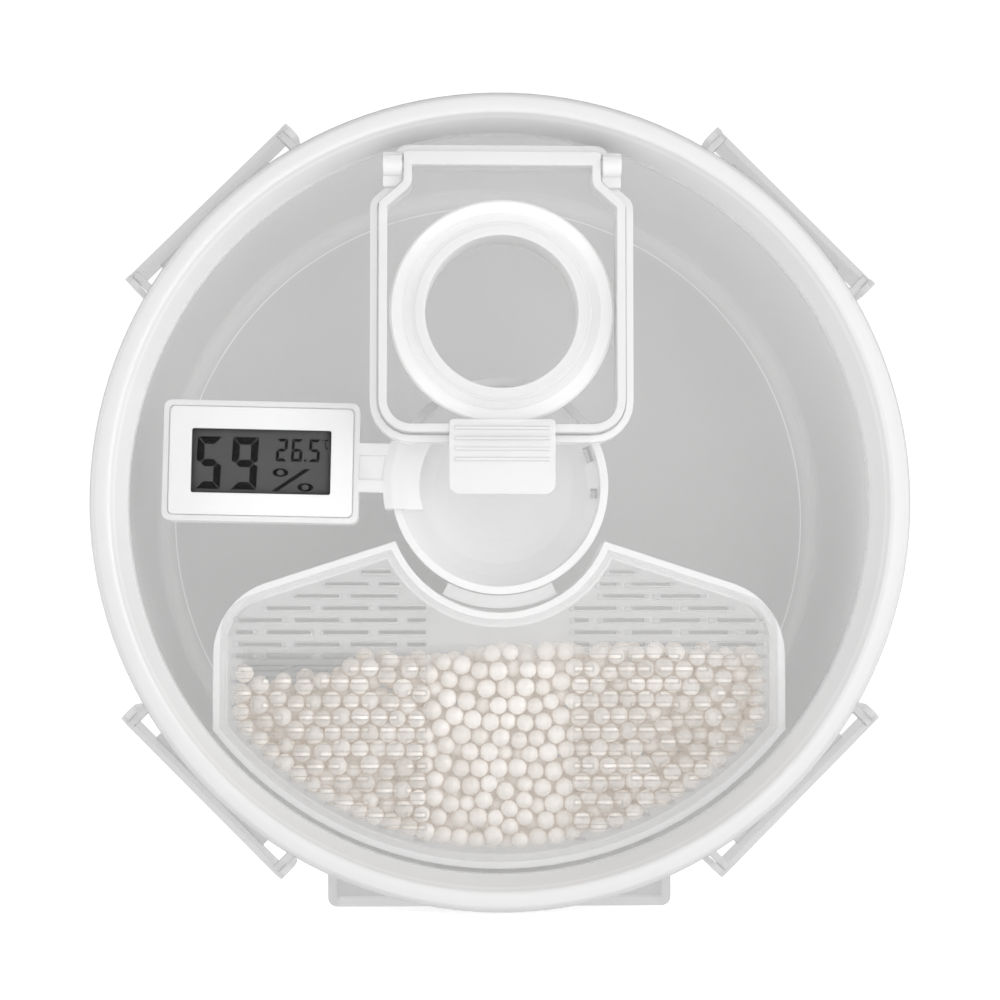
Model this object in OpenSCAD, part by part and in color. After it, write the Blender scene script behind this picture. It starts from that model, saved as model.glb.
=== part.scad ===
// Filament dryer box: a round sealed container standing on a foot. A latched lid with a
// flip cap over a round port closes it, and inside are a central hub for the spool, a
// hygrometer in a clip-on holder and a desiccant box that hangs under the hub.
// Every piece is drawn about the container's axis, with x to the right, y up and z towards
// the front, from the rim's front face. place() then stands the piece on the foot's floor.
// Depths are measured backwards from the rim's front face and are positive.

/* [Lid] */
// Outer radius of the lid's rim
rim_r = 107.8; // [106:0.2:120]
// Width of the rim's front face, from the recess to the outside
rim_w = 5.6; // [5.4:0.1:6.6]
// Depth of the skirt that covers the container's mouth
skirt_h = 11; // [9:0.5:12]
// Wall thickness of the skirt, the rim's front and the recess wall
lid_wall = 1.4; // [1.2:0.1:1.6]
// Radius of the rim's outer front edge
rim_round = 1.8; // [1:0.1:2.2]
// Radius of the rim's edge beside the recess
recess_round = 1.2; // [0.6:0.1:1.6]
// Depth of the recessed panel behind the rim's front face
panel_drop = 13; // [12.4:0.2:15]
// Thickness of the recessed panel
panel_t = 1.8; // [1.2:0.1:2.4]
// How far the recess wall leans inwards from the rim to the panel
recess_draft = 2.8; // [1.6:0.2:3.2]
// Thickness of the seal in the rim's channel
seal_t = 2.2; // [1.6:0.1:3]

/* [Container] */
// Overall depth from the rim's front face to the container's back
box_depth = 110; // [104:1:130]
// Wall thickness of the container
tub_wall = 1.6; // [1.2:0.1:1.8]
// Thickness of the container's floor
floor_t = 1.8; // [1.4:0.1:3]
// Radius that the wall loses from the mouth to the floor
tub_draft = 2.4; // [1:0.2:3]
// Radius of the edge between the wall and the floor
tub_corner = 7; // [4:0.5:10]
// Thickness of the ring flange under the skirt
flange_t = 1.5; // [1:0.1:2.5]
// Thickness of the straight ledges that the latches catch, flange included
ledge_t = 3; // [2.6:0.1:3.4]
// Length of each ledge
ledge_len = 40; // [30:1:42]

/* [Foot] */
// Width of the foot
foot_w = 92; // [70:1:96]
// Wall thickness of the foot
foot_wall = 2.4; // [1.6:0.1:3]
// How far the foot's floor is below the rim
foot_below_rim = 0.6; // [0.4:0.1:3]
// Depth at which the foot starts
foot_front = 21; // [20:0.5:30]
// How far the foot's front wall is set back from its edges
foot_recess = 1.6; // [0:0.1:4]
// Distance of the foot's end from the container's back
foot_back = 9; // [8:0.5:20]
// Radius of the foot's lower corners
foot_corner = 2.5; // [1:0.1:4]

/* [Latches] */
// Length of a latch along the rim
latch_len = 59; // [56:0.5:64]
// How far the outer face of a latch stands out from the rim
latch_proud = 3.4; // [2.1:0.1:3.6]
// Thickness of a latch's flap
latch_t = 1.8; // [1.4:0.1:1.8]
// Distance from a latch's hinge to its free edge
latch_drop = 15.8; // [15.4:0.1:16.2]
// Radius of a latch's free corners
latch_corner = 4; // [1:0.5:6]
// Radius of the edges between a latch's outer face and its end cheeks
latch_edge = 1.4; // [0.2:0.1:1.6]
// Depth of the latch hinge behind the rim's front face
latch_hinge_depth = 2.8; // [2.6:0.1:3.2]
// Distance of the latch hinge behind the latch's outer face
latch_hinge_in = 3; // [2.8:0.1:3.3]
// Radius of a latch's hinge pins
latch_pin_r = 1.1; // [0.8:0.05:1.2]
// Thickness of the lid's lugs that hold a latch
lug_t = 2; // [1.4:0.1:2.4]
// Thickness of a latch's end cheeks
cheek_t = 1.7; // [1.2:0.1:2]
// How far a latch's hook reaches behind its ledge
hook_reach = 1; // [0.6:0.1:1.2]

/* [Flip cap] */
// Gap between the recess wall and the top of the frame around the cap
frame_inset = 4.9; // [4.6:0.1:8]
// Thickness of the frame's ridge
frame_t = 1.9; // [1.2:0.1:2.4]
// Height of the frame's ridge over the panel
frame_h = 7.5; // [5:0.1:7.6]
// Width of the cap
cap_w = 65.2; // [63:0.2:67]
// Height of the cap
cap_h = 74.6; // [73:0.2:80]
// Width of the cap's neck between the hinge ears
neck_w = 52.2; // [46:0.2:53]
// Height of the neck below the cap's top
neck_h = 8; // [7.4:0.1:9]
// Height of the sloping shoulders below the neck
shoulder_h = 5.8; // [5:0.1:7]
// Radius of the cap's lower corners
cap_corner = 8.5; // [4:0.5:10]
// Thickness of the cap's face
cap_t = 1.6; // [1.2:0.1:1.8]
// Thickness of the cap's side walls
cap_wall = 2.2; // [1.6:0.1:2.4]
// Thickness of the cap's top wall
cap_top_wall = 3.7; // [2.4:0.1:4.2]
// Depth of the cap's outer edge behind the rim's front face
cap_front = 1.5; // [1.2:0.1:2]
// Depth of the cap's hinge pins
cap_pin_depth = 3.6; // [3.5:0.1:4]
// Distance of the cap's hinge pins below its top
cap_pin_drop = 3.5; // [3.2:0.1:4]
// Radius of the cap's hinge pins
cap_pin_r = 1.8; // [1.2:0.1:1.8]
// Width of the ears that hold the pins
ear_w = 5; // [4:0.1:6]
// Width of the cap's pull tab
tab_w = 27.9; // [20:0.1:34]
// Height of the pull tab below the cap's lower edge
tab_drop = 16.4; // [12:0.1:18]
// Thickness of the pull tab
tab_t = 2.2; // [1.6:0.1:2.6]

/* [Port] */
// Distance of the port's centre below the cap's top
port_drop = 42.1; // [41:0.1:43]
// Radius of the port's opening
port_r = 20.4; // [16:0.1:20.8]
// Wall thickness of the port's collar
collar_wall = 2.6; // [1.8:0.1:2.8]
// Gap between the collar's flange and the cap's side walls
flange_gap = 0.4; // [0.3:0.1:2]
// Thickness of the collar's flange
collar_flange_t = 2.4; // [1.6:0.1:3]
// Length of the collar behind its flange
collar_len = 11; // [10:0.2:12]
// Thickness of the cap's gasket
gasket_t = 0.9; // [0.6:0.1:1.2]
// Width of the gasket's ring
gasket_w = 2.2; // [1.6:0.1:2.4]

/* [Hub] */
// Height of the hub above the container's axis
hub_rise = 4.5; // [0:0.5:6]
// Radius of the hub post
post_r = 25; // [20:0.2:25.5]
// Wall thickness of the hub post
post_wall = 2; // [1.4:0.1:3]
// Outer radius of the cup on the hub's end
cup_r = 29.4; // [28.6:0.1:30]
// Thickness of the cup's rim
cup_wall = 2.2; // [1.6:0.1:2.4]
// Depth of the cup
cup_h = 16; // [14:0.5:18]
// Length of the cup's spigot inside the post
spigot_len = 12; // [8:0.5:20]

/* [Sensor holder] */
// Distance from the hub's centre to the hygrometer's centre
holder_reach = 64.4; // [62:0.2:66]
// Height of the hygrometer's centre above the hub's centre
holder_rise = 5; // [3:0.2:8]
// Turn of the holder about the hub, in degrees
holder_tilt = -1.1; // [-3:0.1:3]
// Wall thickness of the holder's frame
holder_wall = 1.5; // [1.2:0.1:2]
// Depth of the holder's frame
holder_d = 13; // [10:0.5:14]
// Height of the holder's arm
arm_h = 13.2; // [10:0.2:16]
// Thickness of the arm's rails
arm_rail = 3.3; // [2:0.1:4]
// Height of the holder's clip on the cup
clip_h = 18.4; // [15:0.2:22]
// Thickness of the clip's outer wall
clip_out_t = 2.2; // [1.6:0.1:2.6]
// Thickness of the clip's inner pad
clip_pad_t = 5.4; // [3:0.1:7]

/* [Hygrometer] */
// Width of the hygrometer's bezel
bezel_w = 49.3; // [46:0.1:52]
// Height of the hygrometer's bezel
bezel_h = 29.1; // [27:0.1:32]
// Thickness of the bezel
bezel_t = 2; // [1.8:0.1:3]
// How much narrower the body is than the bezel, on each side
bezel_lip = 1.5; // [1:0.1:2]
// Wall thickness of the hygrometer's case
case_wall = 1.3; // [1:0.1:1.6]
// Overall thickness of the hygrometer
hygro_d = 15.2; // [14.6:0.1:18]
// Width of the display window
display_w = 37.4; // [34:0.1:40]
// Height of the display window
display_h = 17.3; // [15:0.1:20]
// Radius of the button cells
cell_r = 5.8; // [4:0.1:5.9]
// Thickness of the button cells
cell_t = 5.4; // [3:0.1:5.4]

/* [Desiccant box] */
// Gap between the desiccant box's sides and the container's wall at the axis's height
tray_side_gap = 26.8; // [22:0.2:34]
// Gap between the desiccant box and the container's wall below it
tray_floor_gap = 5.4; // [4:0.1:8]
// Depth of the desiccant box, cover included
tray_d = 18.6; // [15:0.2:22]
// Wall thickness of the desiccant box
tray_wall = 1.8; // [1.4:0.1:2.4]
// Thickness of the box's perforated plates
plate_t = 1.6; // [1.2:0.1:2]
// Gap between the cup and the lowest point of the saddle
saddle_gap = 4.9; // [4.7:0.1:6]
// How much lower than the hub's centre the saddle's centre is
saddle_drop = 4; // [3:0.1:5]
// Distance of the saddle's tips below the hub's centre
saddle_tip_drop = 15.1; // [13:0.1:17]
// Slope of the box's shoulders, in degrees
shoulder_slope = 18; // [14:0.5:22]
// Radius of the box's shoulders
shoulder_r = 20; // [12:0.5:24]
// Length of a slot
slot_len = 12.6; // [8:0.2:16]
// Height of a slot
slot_h = 0.95; // [0.7:0.05:1.2]
// Height from one row of slots to the next
slot_pitch = 3.25; // [3:0.05:5]
// Gap between neighbouring slots in a row
slot_gap = 2.8; // [2:0.1:4]
// Half of the width of the plain field between the slots
plain_half_w = 20; // [16:0.2:24]
// Thickness of the hanger under the cup
hanger_t = 3.6; // [2.4:0.1:4]
// Half of the angle that the hanger spans
hanger_half_angle = 28; // [20:1:32]
// Height of the beads below the hub's centre
bead_drop = 42; // [38:0.5:60]

/* [Hidden] */
$fn = 96;

running = 0.06;  // radial clearance of a pin that turns in its bore
seat = 0.2;      // clearance around a piece that sits in another

// Lid and container
recess_r = rim_r - rim_w;
panel_r = recess_r - recess_draft;
panel_back = panel_drop + panel_t;
lip_out_r = rim_r - lid_wall - 2 * seat;
lip_in_r = lip_out_r - tub_wall;
lip_depth = lid_wall + seal_t;
flange_depth = skirt_h + 2 * seat;
ledge_back = flange_depth + ledge_t;
floor_out_r = lip_out_r - tub_draft;
axis_h = rim_r + foot_below_rim;

// Latches
latch_face = rim_r + latch_proud;
flap_in = latch_face - latch_t;
latch_axis = latch_face - latch_hinge_in;
ledge_face = flap_in - 3 * seat;
cheek_r = latch_hinge_in - 0.4;
lug_r = cheek_r - 0.7;
flap_top = latch_hinge_depth + lug_r + 0.5;
lug_out = latch_len / 2 - cheek_t - seat;
lug_in = lug_out - lug_t;

// Flip cap and port
frame_top = panel_r - frame_inset;
cap_gap = 0.5;
cap_top = frame_top - frame_t - cap_gap;
cap_bottom = cap_top - cap_h;
cap_face = 3.4;
cap_back = panel_drop - 2;
cap_pin_y = cap_top - cap_pin_drop;
ear_r = cap_pin_r + running + 1;
ear_low = cap_top - neck_h - 1.2;
ear_in = neck_w / 2 + cap_gap;
ears_out = ear_in + ear_w;
port_y = cap_top - port_drop;
collar_flange_r = cap_w / 2 - cap_wall - flange_gap;
flange_front = cap_face + cap_t + gasket_t + seat / 2;
collar_seat = flange_front + collar_flange_t;
collar_back = collar_seat + collar_len;
collar_r = port_r + collar_wall;
hole_r = collar_r + seat / 2;

// Hub
fittings_front = panel_back + 2.6;
cup_front = collar_back + 0.6;
cup_back = cup_front + cup_h;
post_bore = post_r - post_wall;

// Desiccant box
tray_front = fittings_front;
tray_back = tray_front + tray_d;
cover_back = tray_front + plate_t;
tray_depth_r = lip_in_r - tub_draft * tray_back / box_depth;
tray_r = tray_depth_r - tray_floor_gap;
tray_half_w = tray_depth_r - tray_side_gap;
saddle_y = hub_rise - saddle_drop;
saddle_r = cup_r + saddle_gap - saddle_drop;
lip_t = 1.2;
bead_inset = 2 * tray_wall + lip_t;
slot_margin = 5;

// Hygrometer, behind the front of its bezel
hygro_front = fittings_front;
window_t = 1;
display_t = 1.6;
frame_margin = 1;
board_depth = hygro_front + bezel_t + display_t + window_t + 0.8;
board_t = 1.2;
hygro_back = hygro_front + hygro_d;
back_t = 1.4;

// ---------------------------------------------------------------- shapes

function unit(v) = v / norm(v);

// Points that round the corner p between the points a and b
function corner_arc(a, p, b, r, n) =
    r <= 0 ? [p] :
    let (
        u = unit(a - p), v = unit(b - p), half = acos(u * v) / 2,
        c = p + unit(u + v) * r / sin(half),
        s = p + u * r / tan(half) - c,
        e = p + v * r / tan(half) - c,
        start = atan2(s[1], s[0]),
        turn = atan2(s[0] * e[1] - s[1] * e[0], s * e)
    )
    [for (i = [0:n]) c + r * [cos(start + turn * i / n), sin(start + turn * i / n)]];

// Polygon points with each corner rounded by its own radius
function rounded(pts, radii, n = 6) =
    let (m = len(pts))
    [for (i = [0:m - 1])
        each corner_arc(pts[(i + m - 1) % m], pts[i], pts[(i + 1) % m], radii[i], n)];

// Anticlockwise polygon with every edge moved inwards by d
function inset(pts, d) =
    let (m = len(pts))
    [for (i = [0:m - 1])
        let (
            u = unit(pts[i] - pts[(i + m - 1) % m]),
            v = unit(pts[(i + 1) % m] - pts[i]),
            nu = [-u[1], u[0]], nv = [-v[1], v[0]]
        )
        pts[i] + (nu + nv) * d / (1 + nu * nv)];

// Points on an arc about c, from angle a0 to a1
function arc(c, r, a0, a1, n) =
    [for (i = [0:n]) c + r * [cos(a0 + (a1 - a0) * i / n), sin(a0 + (a1 - a0) * i / n)]];

// Corner points of a rectangle w by h about the origin
function plate(w, h) = [[-w / 2, -h / 2], [w / 2, -h / 2], [w / 2, h / 2], [-w / 2, h / 2]];

// Stands a piece on the foot's floor, with the container's depth centred on the origin
module place() {
    translate([0, -box_depth / 2, axis_h]) rotate([90, 0, 0]) children();
}

// Extrudes a flat shape from one depth to a greater one
module slab(front, back) {
    translate([0, 0, -back]) linear_extrude(back - front) children();
}

// A cylinder about the container's axis direction, from one depth to a greater one
module disc(r, front, back, y = 0) {
    translate([0, y, -back]) cylinder(r = r, h = back - front);
}

module rounded_slab(w, h, r, front, back) {
    slab(front, back) polygon(rounded(plate(w, h), [r, r, r, r]));
}

// ---------------------------------------------------------------- container

// Outside of the container as one solid, used to trim what is joined to it
module tub_outside() {
    translate([0, 0, -box_depth])
        cylinder(r1 = floor_out_r, r2 = lip_out_r, h = box_depth - lip_depth);
}

module container() color("whitesmoke", 0.5) place() {
    rotate_extrude() polygon(concat(
        [[0, -box_depth]],
        arc([floor_out_r - tub_corner, tub_corner - box_depth], tub_corner, 270, 360, 8),
        [[lip_out_r, -lip_depth], [lip_in_r, -lip_depth]],
        arc(
            [floor_out_r - tub_corner, tub_corner - box_depth],
            tub_corner - tub_wall, 360, 270, 8
        ),
        [[0, floor_t - box_depth]]
    ));
    // ring flange under the lid's skirt
    difference() {
        disc(rim_r - 2 * seat, flange_depth, flange_depth + flange_t);
        disc(lip_in_r + tub_wall / 2, flange_depth - 1, flange_depth + flange_t + 1);
    }
    for (a = [45:90:315]) rotate([0, 0, a]) ledge();
}

// Straight ledge behind which a latch catches
module ledge() {
    difference() {
        translate([lip_in_r - 8, -ledge_len / 2, -ledge_back])
            cube([ledge_face - lip_in_r + 8, ledge_len, ledge_t]);
        disc(lip_in_r + tub_wall / 2, flange_depth - 1, ledge_back + 1);
    }
}

module foot() color("whitesmoke", 0.5) place() difference() {
    union() {
        slab(foot_front, box_depth - foot_back) difference() {
            foot_outline(0);
            foot_outline(foot_wall);
        }
        slab(foot_front + foot_recess, foot_front + foot_recess + foot_wall) foot_outline(0);
        for (x = [-foot_w / 6, foot_w / 6])
            slab(foot_front, box_depth - foot_back)
                translate([x - foot_wall / 2, -axis_h]) square([foot_wall, 12]);
    }
    tub_outside();
}

module foot_outline(d) {
    r = max(foot_corner - d, 0);
    low = inset([
        [-foot_w / 2, -axis_h], [foot_w / 2, -axis_h],
        [foot_w / 2, -axis_h / 2], [-foot_w / 2, -axis_h / 2]
    ], d);
    polygon(rounded(low, [r, r, 0, 0]));
}

// ---------------------------------------------------------------- hub

module hub_post() color("whitesmoke", 0.6) place() difference() {
    disc(post_r, cup_back, box_depth - floor_t, hub_rise);
    disc(post_bore, cup_back - 1, box_depth - floor_t - 2, hub_rise);
}

module hub_cup() color("white", 0.7) place() difference() {
    translate([0, hub_rise, 0]) rotate_extrude() polygon(concat(
        // dished front of the cup, from its middle out to the rim
        arc([0, bowl_r - cup_back + cup_wall], bowl_r, 270, 270 + bowl_angle, 8),
        [
            [cup_r - cup_wall, -cup_front],
            [cup_r, -cup_front],
            [cup_r, -cup_back],
            [spigot_r, -cup_back],
            [spigot_r, -cup_back - spigot_len],
            [spigot_r - cup_wall, -cup_back - spigot_len],
            [spigot_r - cup_wall, -cup_back],
            [0, -cup_back]
        ]
    ));
    // vents beside the rim
    for (i = [0, 1]) translate([0, hub_rise, 0]) rotate([0, 0, vent_angles[i]])
        translate([cup_r - cup_wall - seat - vent_w, -vent_h[i] / 2, -cup_back - 1])
            cube([vent_w, vent_h[i], cup_h]);
}

vent_w = 1.9;
vent_h = [2.6, 4.2];
vent_angles = [-3.6, 20.2];

spigot_r = post_bore - seat / 2;
bowl_rise = cup_h / 2;
bowl_half = cup_r - cup_wall;
bowl_r = (bowl_half * bowl_half + bowl_rise * bowl_rise) / (2 * bowl_rise);
bowl_angle = asin(bowl_half / bowl_r);

// ---------------------------------------------------------------- lid

module lid() color("whitesmoke", 0.5) place() difference() {
    union() {
        rotate_extrude() polygon(lid_profile());
        // raised seat around the port
        disc(hole_r + 3.4, collar_seat, panel_drop + panel_t / 2, port_y);
        // frame around the flip cap
        slab(panel_drop - frame_h, panel_drop + panel_t / 2) difference() {
            cap_outline(-cap_gap - frame_t);
            cap_outline(-cap_gap);
        }
        for (s = [-1, 1]) cap_ear(s);
        for (a = [45:90:315]) rotate([0, 0, a]) for (s = [-1, 1]) latch_lug(s);
    }
    disc(hole_r, collar_seat - 1, panel_back + 1, port_y);
    // bores for the cap's hinge pins
    translate([-ears_out - 1, cap_pin_y, -cap_pin_depth]) rotate([0, 90, 0])
        cylinder(r = cap_pin_r + running, h = 2 * ears_out + 2);
    // bores for the latches' hinge pins
    for (a = [45:90:315]) rotate([0, 0, a])
        for (s = [-1, 1]) translate([latch_axis, s * (lug_in + lug_out) / 2, -latch_hinge_depth])
            rotate([90, 0, 0])
                cylinder(r = latch_pin_r + running, h = lug_t + 1, center = true);
}

function lid_profile() = concat(
    [[0, -panel_drop], [panel_r, -panel_drop]],
    arc([recess_r + recess_round, -recess_round], recess_round, 180, 90, 4),
    arc([rim_r - rim_round, -rim_round], rim_round, 90, 0, 5),
    [
        [rim_r, -skirt_h],
        [rim_r - lid_wall, -skirt_h],
        [rim_r - lid_wall, -lid_wall],
        [recess_r + lid_wall, -lid_wall],
        [panel_r + lid_wall, -panel_back],
        [0, -panel_back]
    ]
);

// Ear that holds one of the cap's hinge pins, s = -1 on the left and 1 on the right. Its
// lower inner corner is cut along the cap's sloping shoulder, a gap away from it.
module cap_ear(s) {
    slope = shoulder_h / (cap_w / 2 - neck_w / 2);
    line_y = cap_top - neck_h + cap_gap * (sqrt(1 + slope * slope) - slope);
    slab(cap_pin_depth, panel_drop + panel_t / 2) mirror([s < 0 ? 1 : 0, 0]) polygon([
        [ear_in, line_y], [ear_in + (line_y - ear_low) / slope, ear_low],
        [ears_out, ear_low], [ears_out, cap_top], [ear_in, cap_top]
    ]);
    translate([s > 0 ? ear_in : -ears_out, cap_pin_y, -cap_pin_depth]) rotate([0, 90, 0])
        cylinder(r = ear_r, h = ear_w);
}

// Lug that holds one of a latch's hinge pins, in the latch's own direction
module latch_lug(s) {
    y = s > 0 ? lug_in : -lug_out;
    root = sqrt(pow(rim_r - lid_wall + 0.1, 2) - lug_in * lug_in);
    translate([root, y, -latch_hinge_depth - lug_r])
        cube([latch_axis - root, lug_t, 2 * lug_r]);
    translate([latch_axis, y, -latch_hinge_depth]) rotate([-90, 0, 0])
        cylinder(r = lug_r, h = lug_t);
}

module lid_seal() color("gainsboro") place() translate([0, 0, -lip_depth]) difference() {
    cylinder(r = rim_r - lid_wall - seat / 2, h = seal_t);
    translate([0, 0, -1]) cylinder(r = recess_r + lid_wall + seat / 2, h = seal_t + 2);
}

// ---------------------------------------------------------------- latches

// A latch, closed, with the rim's outward direction along x
module latch(angle) color("whitesmoke", 0.5) place() rotate([0, 0, angle]) {
    low = latch_hinge_depth + latch_drop;
    inner = latch_axis - cheek_r;
    // flap and end cheeks, from a section across the latch and an outline with free corners
    intersection() {
        slab(flap_top, low) difference() {
            translate([inner, 0]) polygon(rounded(
                [
                    [0, -latch_len / 2], [latch_face - inner, -latch_len / 2],
                    [latch_face - inner, latch_len / 2], [0, latch_len / 2]
                ],
                [0, latch_edge, latch_edge, 0]
            ));
            translate([inner - 1, cheek_t - latch_len / 2])
                square([flap_in - inner + 1, latch_len - 2 * cheek_t]);
        }
        translate([inner - 1, 0, 0]) rotate([90, 0, 90]) linear_extrude(latch_face - inner + 2)
            polygon(rounded(
                [
                    [-latch_len / 2, -low], [latch_len / 2, -low],
                    [latch_len / 2, 0], [-latch_len / 2, 0]
                ],
                [latch_corner, latch_corner, 0, 0]
            ));
    }
    // hook that catches behind the ledge
    translate([ledge_face - hook_reach, -ledge_len / 2, -ledge_back - seat - latch_t])
        cube([flap_in - ledge_face + hook_reach + latch_t / 2, ledge_len, latch_t]);
    for (s = [-1, 1]) {
        // cheek around the hinge, with its pin
        y = s > 0 ? latch_len / 2 - cheek_t : -latch_len / 2;
        translate([latch_axis, y, -latch_hinge_depth]) rotate([-90, 0, 0])
            cylinder(r = cheek_r, h = cheek_t);
        translate([inner, y, -flap_top - 1])
            cube([latch_face - latch_edge - inner, cheek_t, flap_top + 1 - latch_hinge_depth]);
        pin_y = s > 0 ? lug_in : -lug_out - seat - cheek_t / 2;
        translate([latch_axis, pin_y, -latch_hinge_depth]) rotate([-90, 0, 0])
            cylinder(r = latch_pin_r, h = lug_t + seat + cheek_t / 2);
    }
}

module latch_top_right() latch(45);
module latch_top_left() latch(135);
module latch_bottom_left() latch(225);
module latch_bottom_right() latch(315);

// ---------------------------------------------------------------- port and flip cap

module port_collar() color("white") place() translate([0, port_y, 0]) {
    rotate_extrude() polygon([
        [port_r, seat - flange_front + seat], [collar_r, seat - flange_front + seat],
        [collar_r + 1, -flange_front],
        [collar_flange_r - 0.6, -flange_front], [collar_flange_r, -flange_front - 0.6],
        [collar_flange_r, -collar_seat], [collar_r, -collar_seat],
        [collar_r, -collar_back], [port_r, -collar_back]
    ]);
}

// Outline of the flip cap, moved inwards by d
module cap_outline(d) {
    neck_low = cap_top - neck_h;
    side_top = neck_low - shoulder_h;
    corner = cap_corner - d;
    convex = max(1.5 - d, 0.2);
    concave = max(1.5 + d, 0.2);
    top = max(1 - d, 0.2);
    polygon(rounded(
        inset([
            [-cap_w / 2, cap_bottom], [cap_w / 2, cap_bottom],
            [cap_w / 2, side_top], [neck_w / 2, neck_low], [neck_w / 2, cap_top],
            [-neck_w / 2, cap_top], [-neck_w / 2, neck_low], [-cap_w / 2, side_top]
        ], d),
        [corner, corner, convex, concave, top, top, concave, convex]
    ));
}

module flip_cap() color("whitesmoke", 0.5) place() {
    slab(cap_face, cap_face + cap_t) cap_outline(0);
    slab(cap_front, cap_back) difference() {
        cap_outline(0);
        intersection() {
            cap_outline(cap_wall);
            translate([-cap_w, cap_top - cap_top_wall - 2 * cap_w]) square(2 * cap_w);
        }
    }
    for (s = [-1, 1]) {
        start = s > 0 ? neck_w / 2 - cap_wall / 2 : -neck_w / 2 - cap_gap - ear_w + 1;
        translate([start, cap_pin_y, -cap_pin_depth]) rotate([0, 90, 0])
            cylinder(r = cap_pin_r, h = cap_gap + ear_w - 1 + cap_wall / 2);
    }
    pull_tab();
}

// Tab below the cap, with grip ribs and a wall that stops at the frame
module pull_tab() {
    top = cap_bottom + cap_wall + 1.2;
    low = cap_bottom - tab_drop;
    front = cap_front - 0.5;
    slab(front, front + tab_t) polygon(rounded(
        [[-tab_w / 2, low], [tab_w / 2, low], [tab_w / 2, top], [-tab_w / 2, top]],
        [2.7, 2.7, 1, 1]
    ));
    for (i = [0:3]) slab(front - 0.4, front + 0.1)
        translate([-tab_w / 2 + 1.5, cap_bottom - 7.6 + i * 2.75]) square([tab_w - 3, 0.8]);
    frame_out = cap_bottom - cap_gap - frame_t;
    slab(front + tab_t / 2, panel_drop - frame_h + 2)
        translate([-tab_w / 2 + 2, frame_out - 2 * seat - 1.4]) square([tab_w - 4, 1.4]);
}

module cap_gasket() color("white") place() difference() {
    inner_r = collar_r + 1;
    disc(inner_r + gasket_w, cap_face + cap_t, cap_face + cap_t + gasket_t, port_y);
    disc(inner_r, cap_face, cap_face + cap_t + gasket_t + 1, port_y);
}

// ---------------------------------------------------------------- sensor holder

// Turns what is on the holder about the hub
module on_hub() {
    translate([0, hub_rise, 0]) rotate([0, 0, holder_tilt]) children();
}

// Puts what is in the hygrometer at the holder's end
module at_hygro() {
    on_hub() translate([-holder_reach, holder_rise, 0]) children();
}

holder_w = bezel_w + 2 * (seat + holder_wall);
holder_h = bezel_h + 2 * (seat + holder_wall);
body_w = bezel_w - 2 * bezel_lip;
body_h = bezel_h - 2 * bezel_lip;
clip_y = holder_rise - 2.8;
clip_in_r = cup_r - cup_wall - seat / 2;
clip_out_r = cup_r + seat / 2;
arm_y = holder_rise - 1;
arm_from = holder_w / 2 - holder_reach - holder_wall / 2;
arm_len = -arm_from - clip_out_r * cos(asin((clip_h / 2 + clip_y) / clip_out_r));
clip_front = hygro_front + seat;
clip_stop = cup_front - seat / 2;  // the bridge rests on the cup's rim

// Clip that straddles the cup's rim: outer wall, bridge and inner pad
module holder_clip() {
    intersection() {
        rotate_extrude() polygon([
            [clip_in_r - clip_pad_t, -clip_front], [clip_out_r + clip_out_t, -clip_front],
            [clip_out_r + clip_out_t, -cup_front - cup_h / 2],
            [clip_out_r, -cup_front - cup_h / 2],
            [clip_out_r, -clip_stop], [clip_in_r, -clip_stop],
            [clip_in_r, -cup_front - 3], [clip_in_r - clip_pad_t, -cup_front - 3]
        ]);
        translate([-2 * cup_r, clip_y - clip_h / 2, -cup_back]) cube([2 * cup_r, clip_h, 2 * cup_r]);
    }
}

// Arm from the frame to the clip: a web between two rails
module holder_arm() {
    difference() {
        union() {
            for (y = [arm_y - arm_h / 2, arm_y + arm_h / 2 - arm_rail])
                slab(clip_front, clip_front + 4)
                    translate([arm_from, y]) square([arm_len, arm_rail]);
            slab(clip_front + 1, clip_front + 2.6)
                translate([arm_from, arm_y - arm_h / 2 + arm_rail / 2])
                    square([arm_len, arm_h - arm_rail]);
        }
        disc(clip_out_r + clip_out_t / 2, clip_front - 1, clip_front + 5);
    }
}

module sensor_holder() color("whitesmoke", 0.6) place() {
    at_hygro() difference() {
        rounded_slab(holder_w, holder_h, 2.2, hygro_front + seat, hygro_front + holder_d);
        rounded_slab(
            bezel_w + 2 * seat, bezel_h + 2 * seat, 1.2,
            hygro_front - 1, hygro_front + bezel_t + seat / 2
        );
        rounded_slab(
            body_w + 2 * seat, body_h + 2 * seat, 1, hygro_front, hygro_front + holder_d + 1
        );
    }
    on_hub() {
        holder_arm();
        holder_clip();
    }
}

// ---------------------------------------------------------------- hygrometer

module hygro_front_case() color("white") place() at_hygro() difference() {
    union() {
        rounded_slab(bezel_w, bezel_h, 1.4, hygro_front, hygro_front + bezel_t);
        rounded_slab(body_w, body_h, 1, hygro_front + bezel_t / 2, hygro_back - back_t);
    }
    rounded_slab(
        body_w - 2 * case_wall, body_h - 2 * case_wall, 0.5,
        hygro_front + bezel_t, hygro_back
    );
    rounded_slab(display_w, display_h, 0.6, hygro_front - 1, hygro_front + bezel_t + 1);
    rounded_slab(
        display_w + 2 * frame_margin, display_h + 2 * frame_margin, 0.8,
        hygro_front + window_t, hygro_front + bezel_t + 1
    );
}

module hygro_window() color("lightgray", 0.3) place() at_hygro()
    rounded_slab(
        display_w + 2 * frame_margin - seat, display_h + 2 * frame_margin - seat, 0.7,
        hygro_front + window_t, hygro_front + 2 * window_t
    );

module hygro_display() color("dimgray") place() at_hygro()
    rounded_slab(
        display_w + 2 * frame_margin - seat, display_h + 2 * frame_margin - seat, 0.7,
        hygro_front + 2 * window_t, hygro_front + 2 * window_t + display_t
    );

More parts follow.
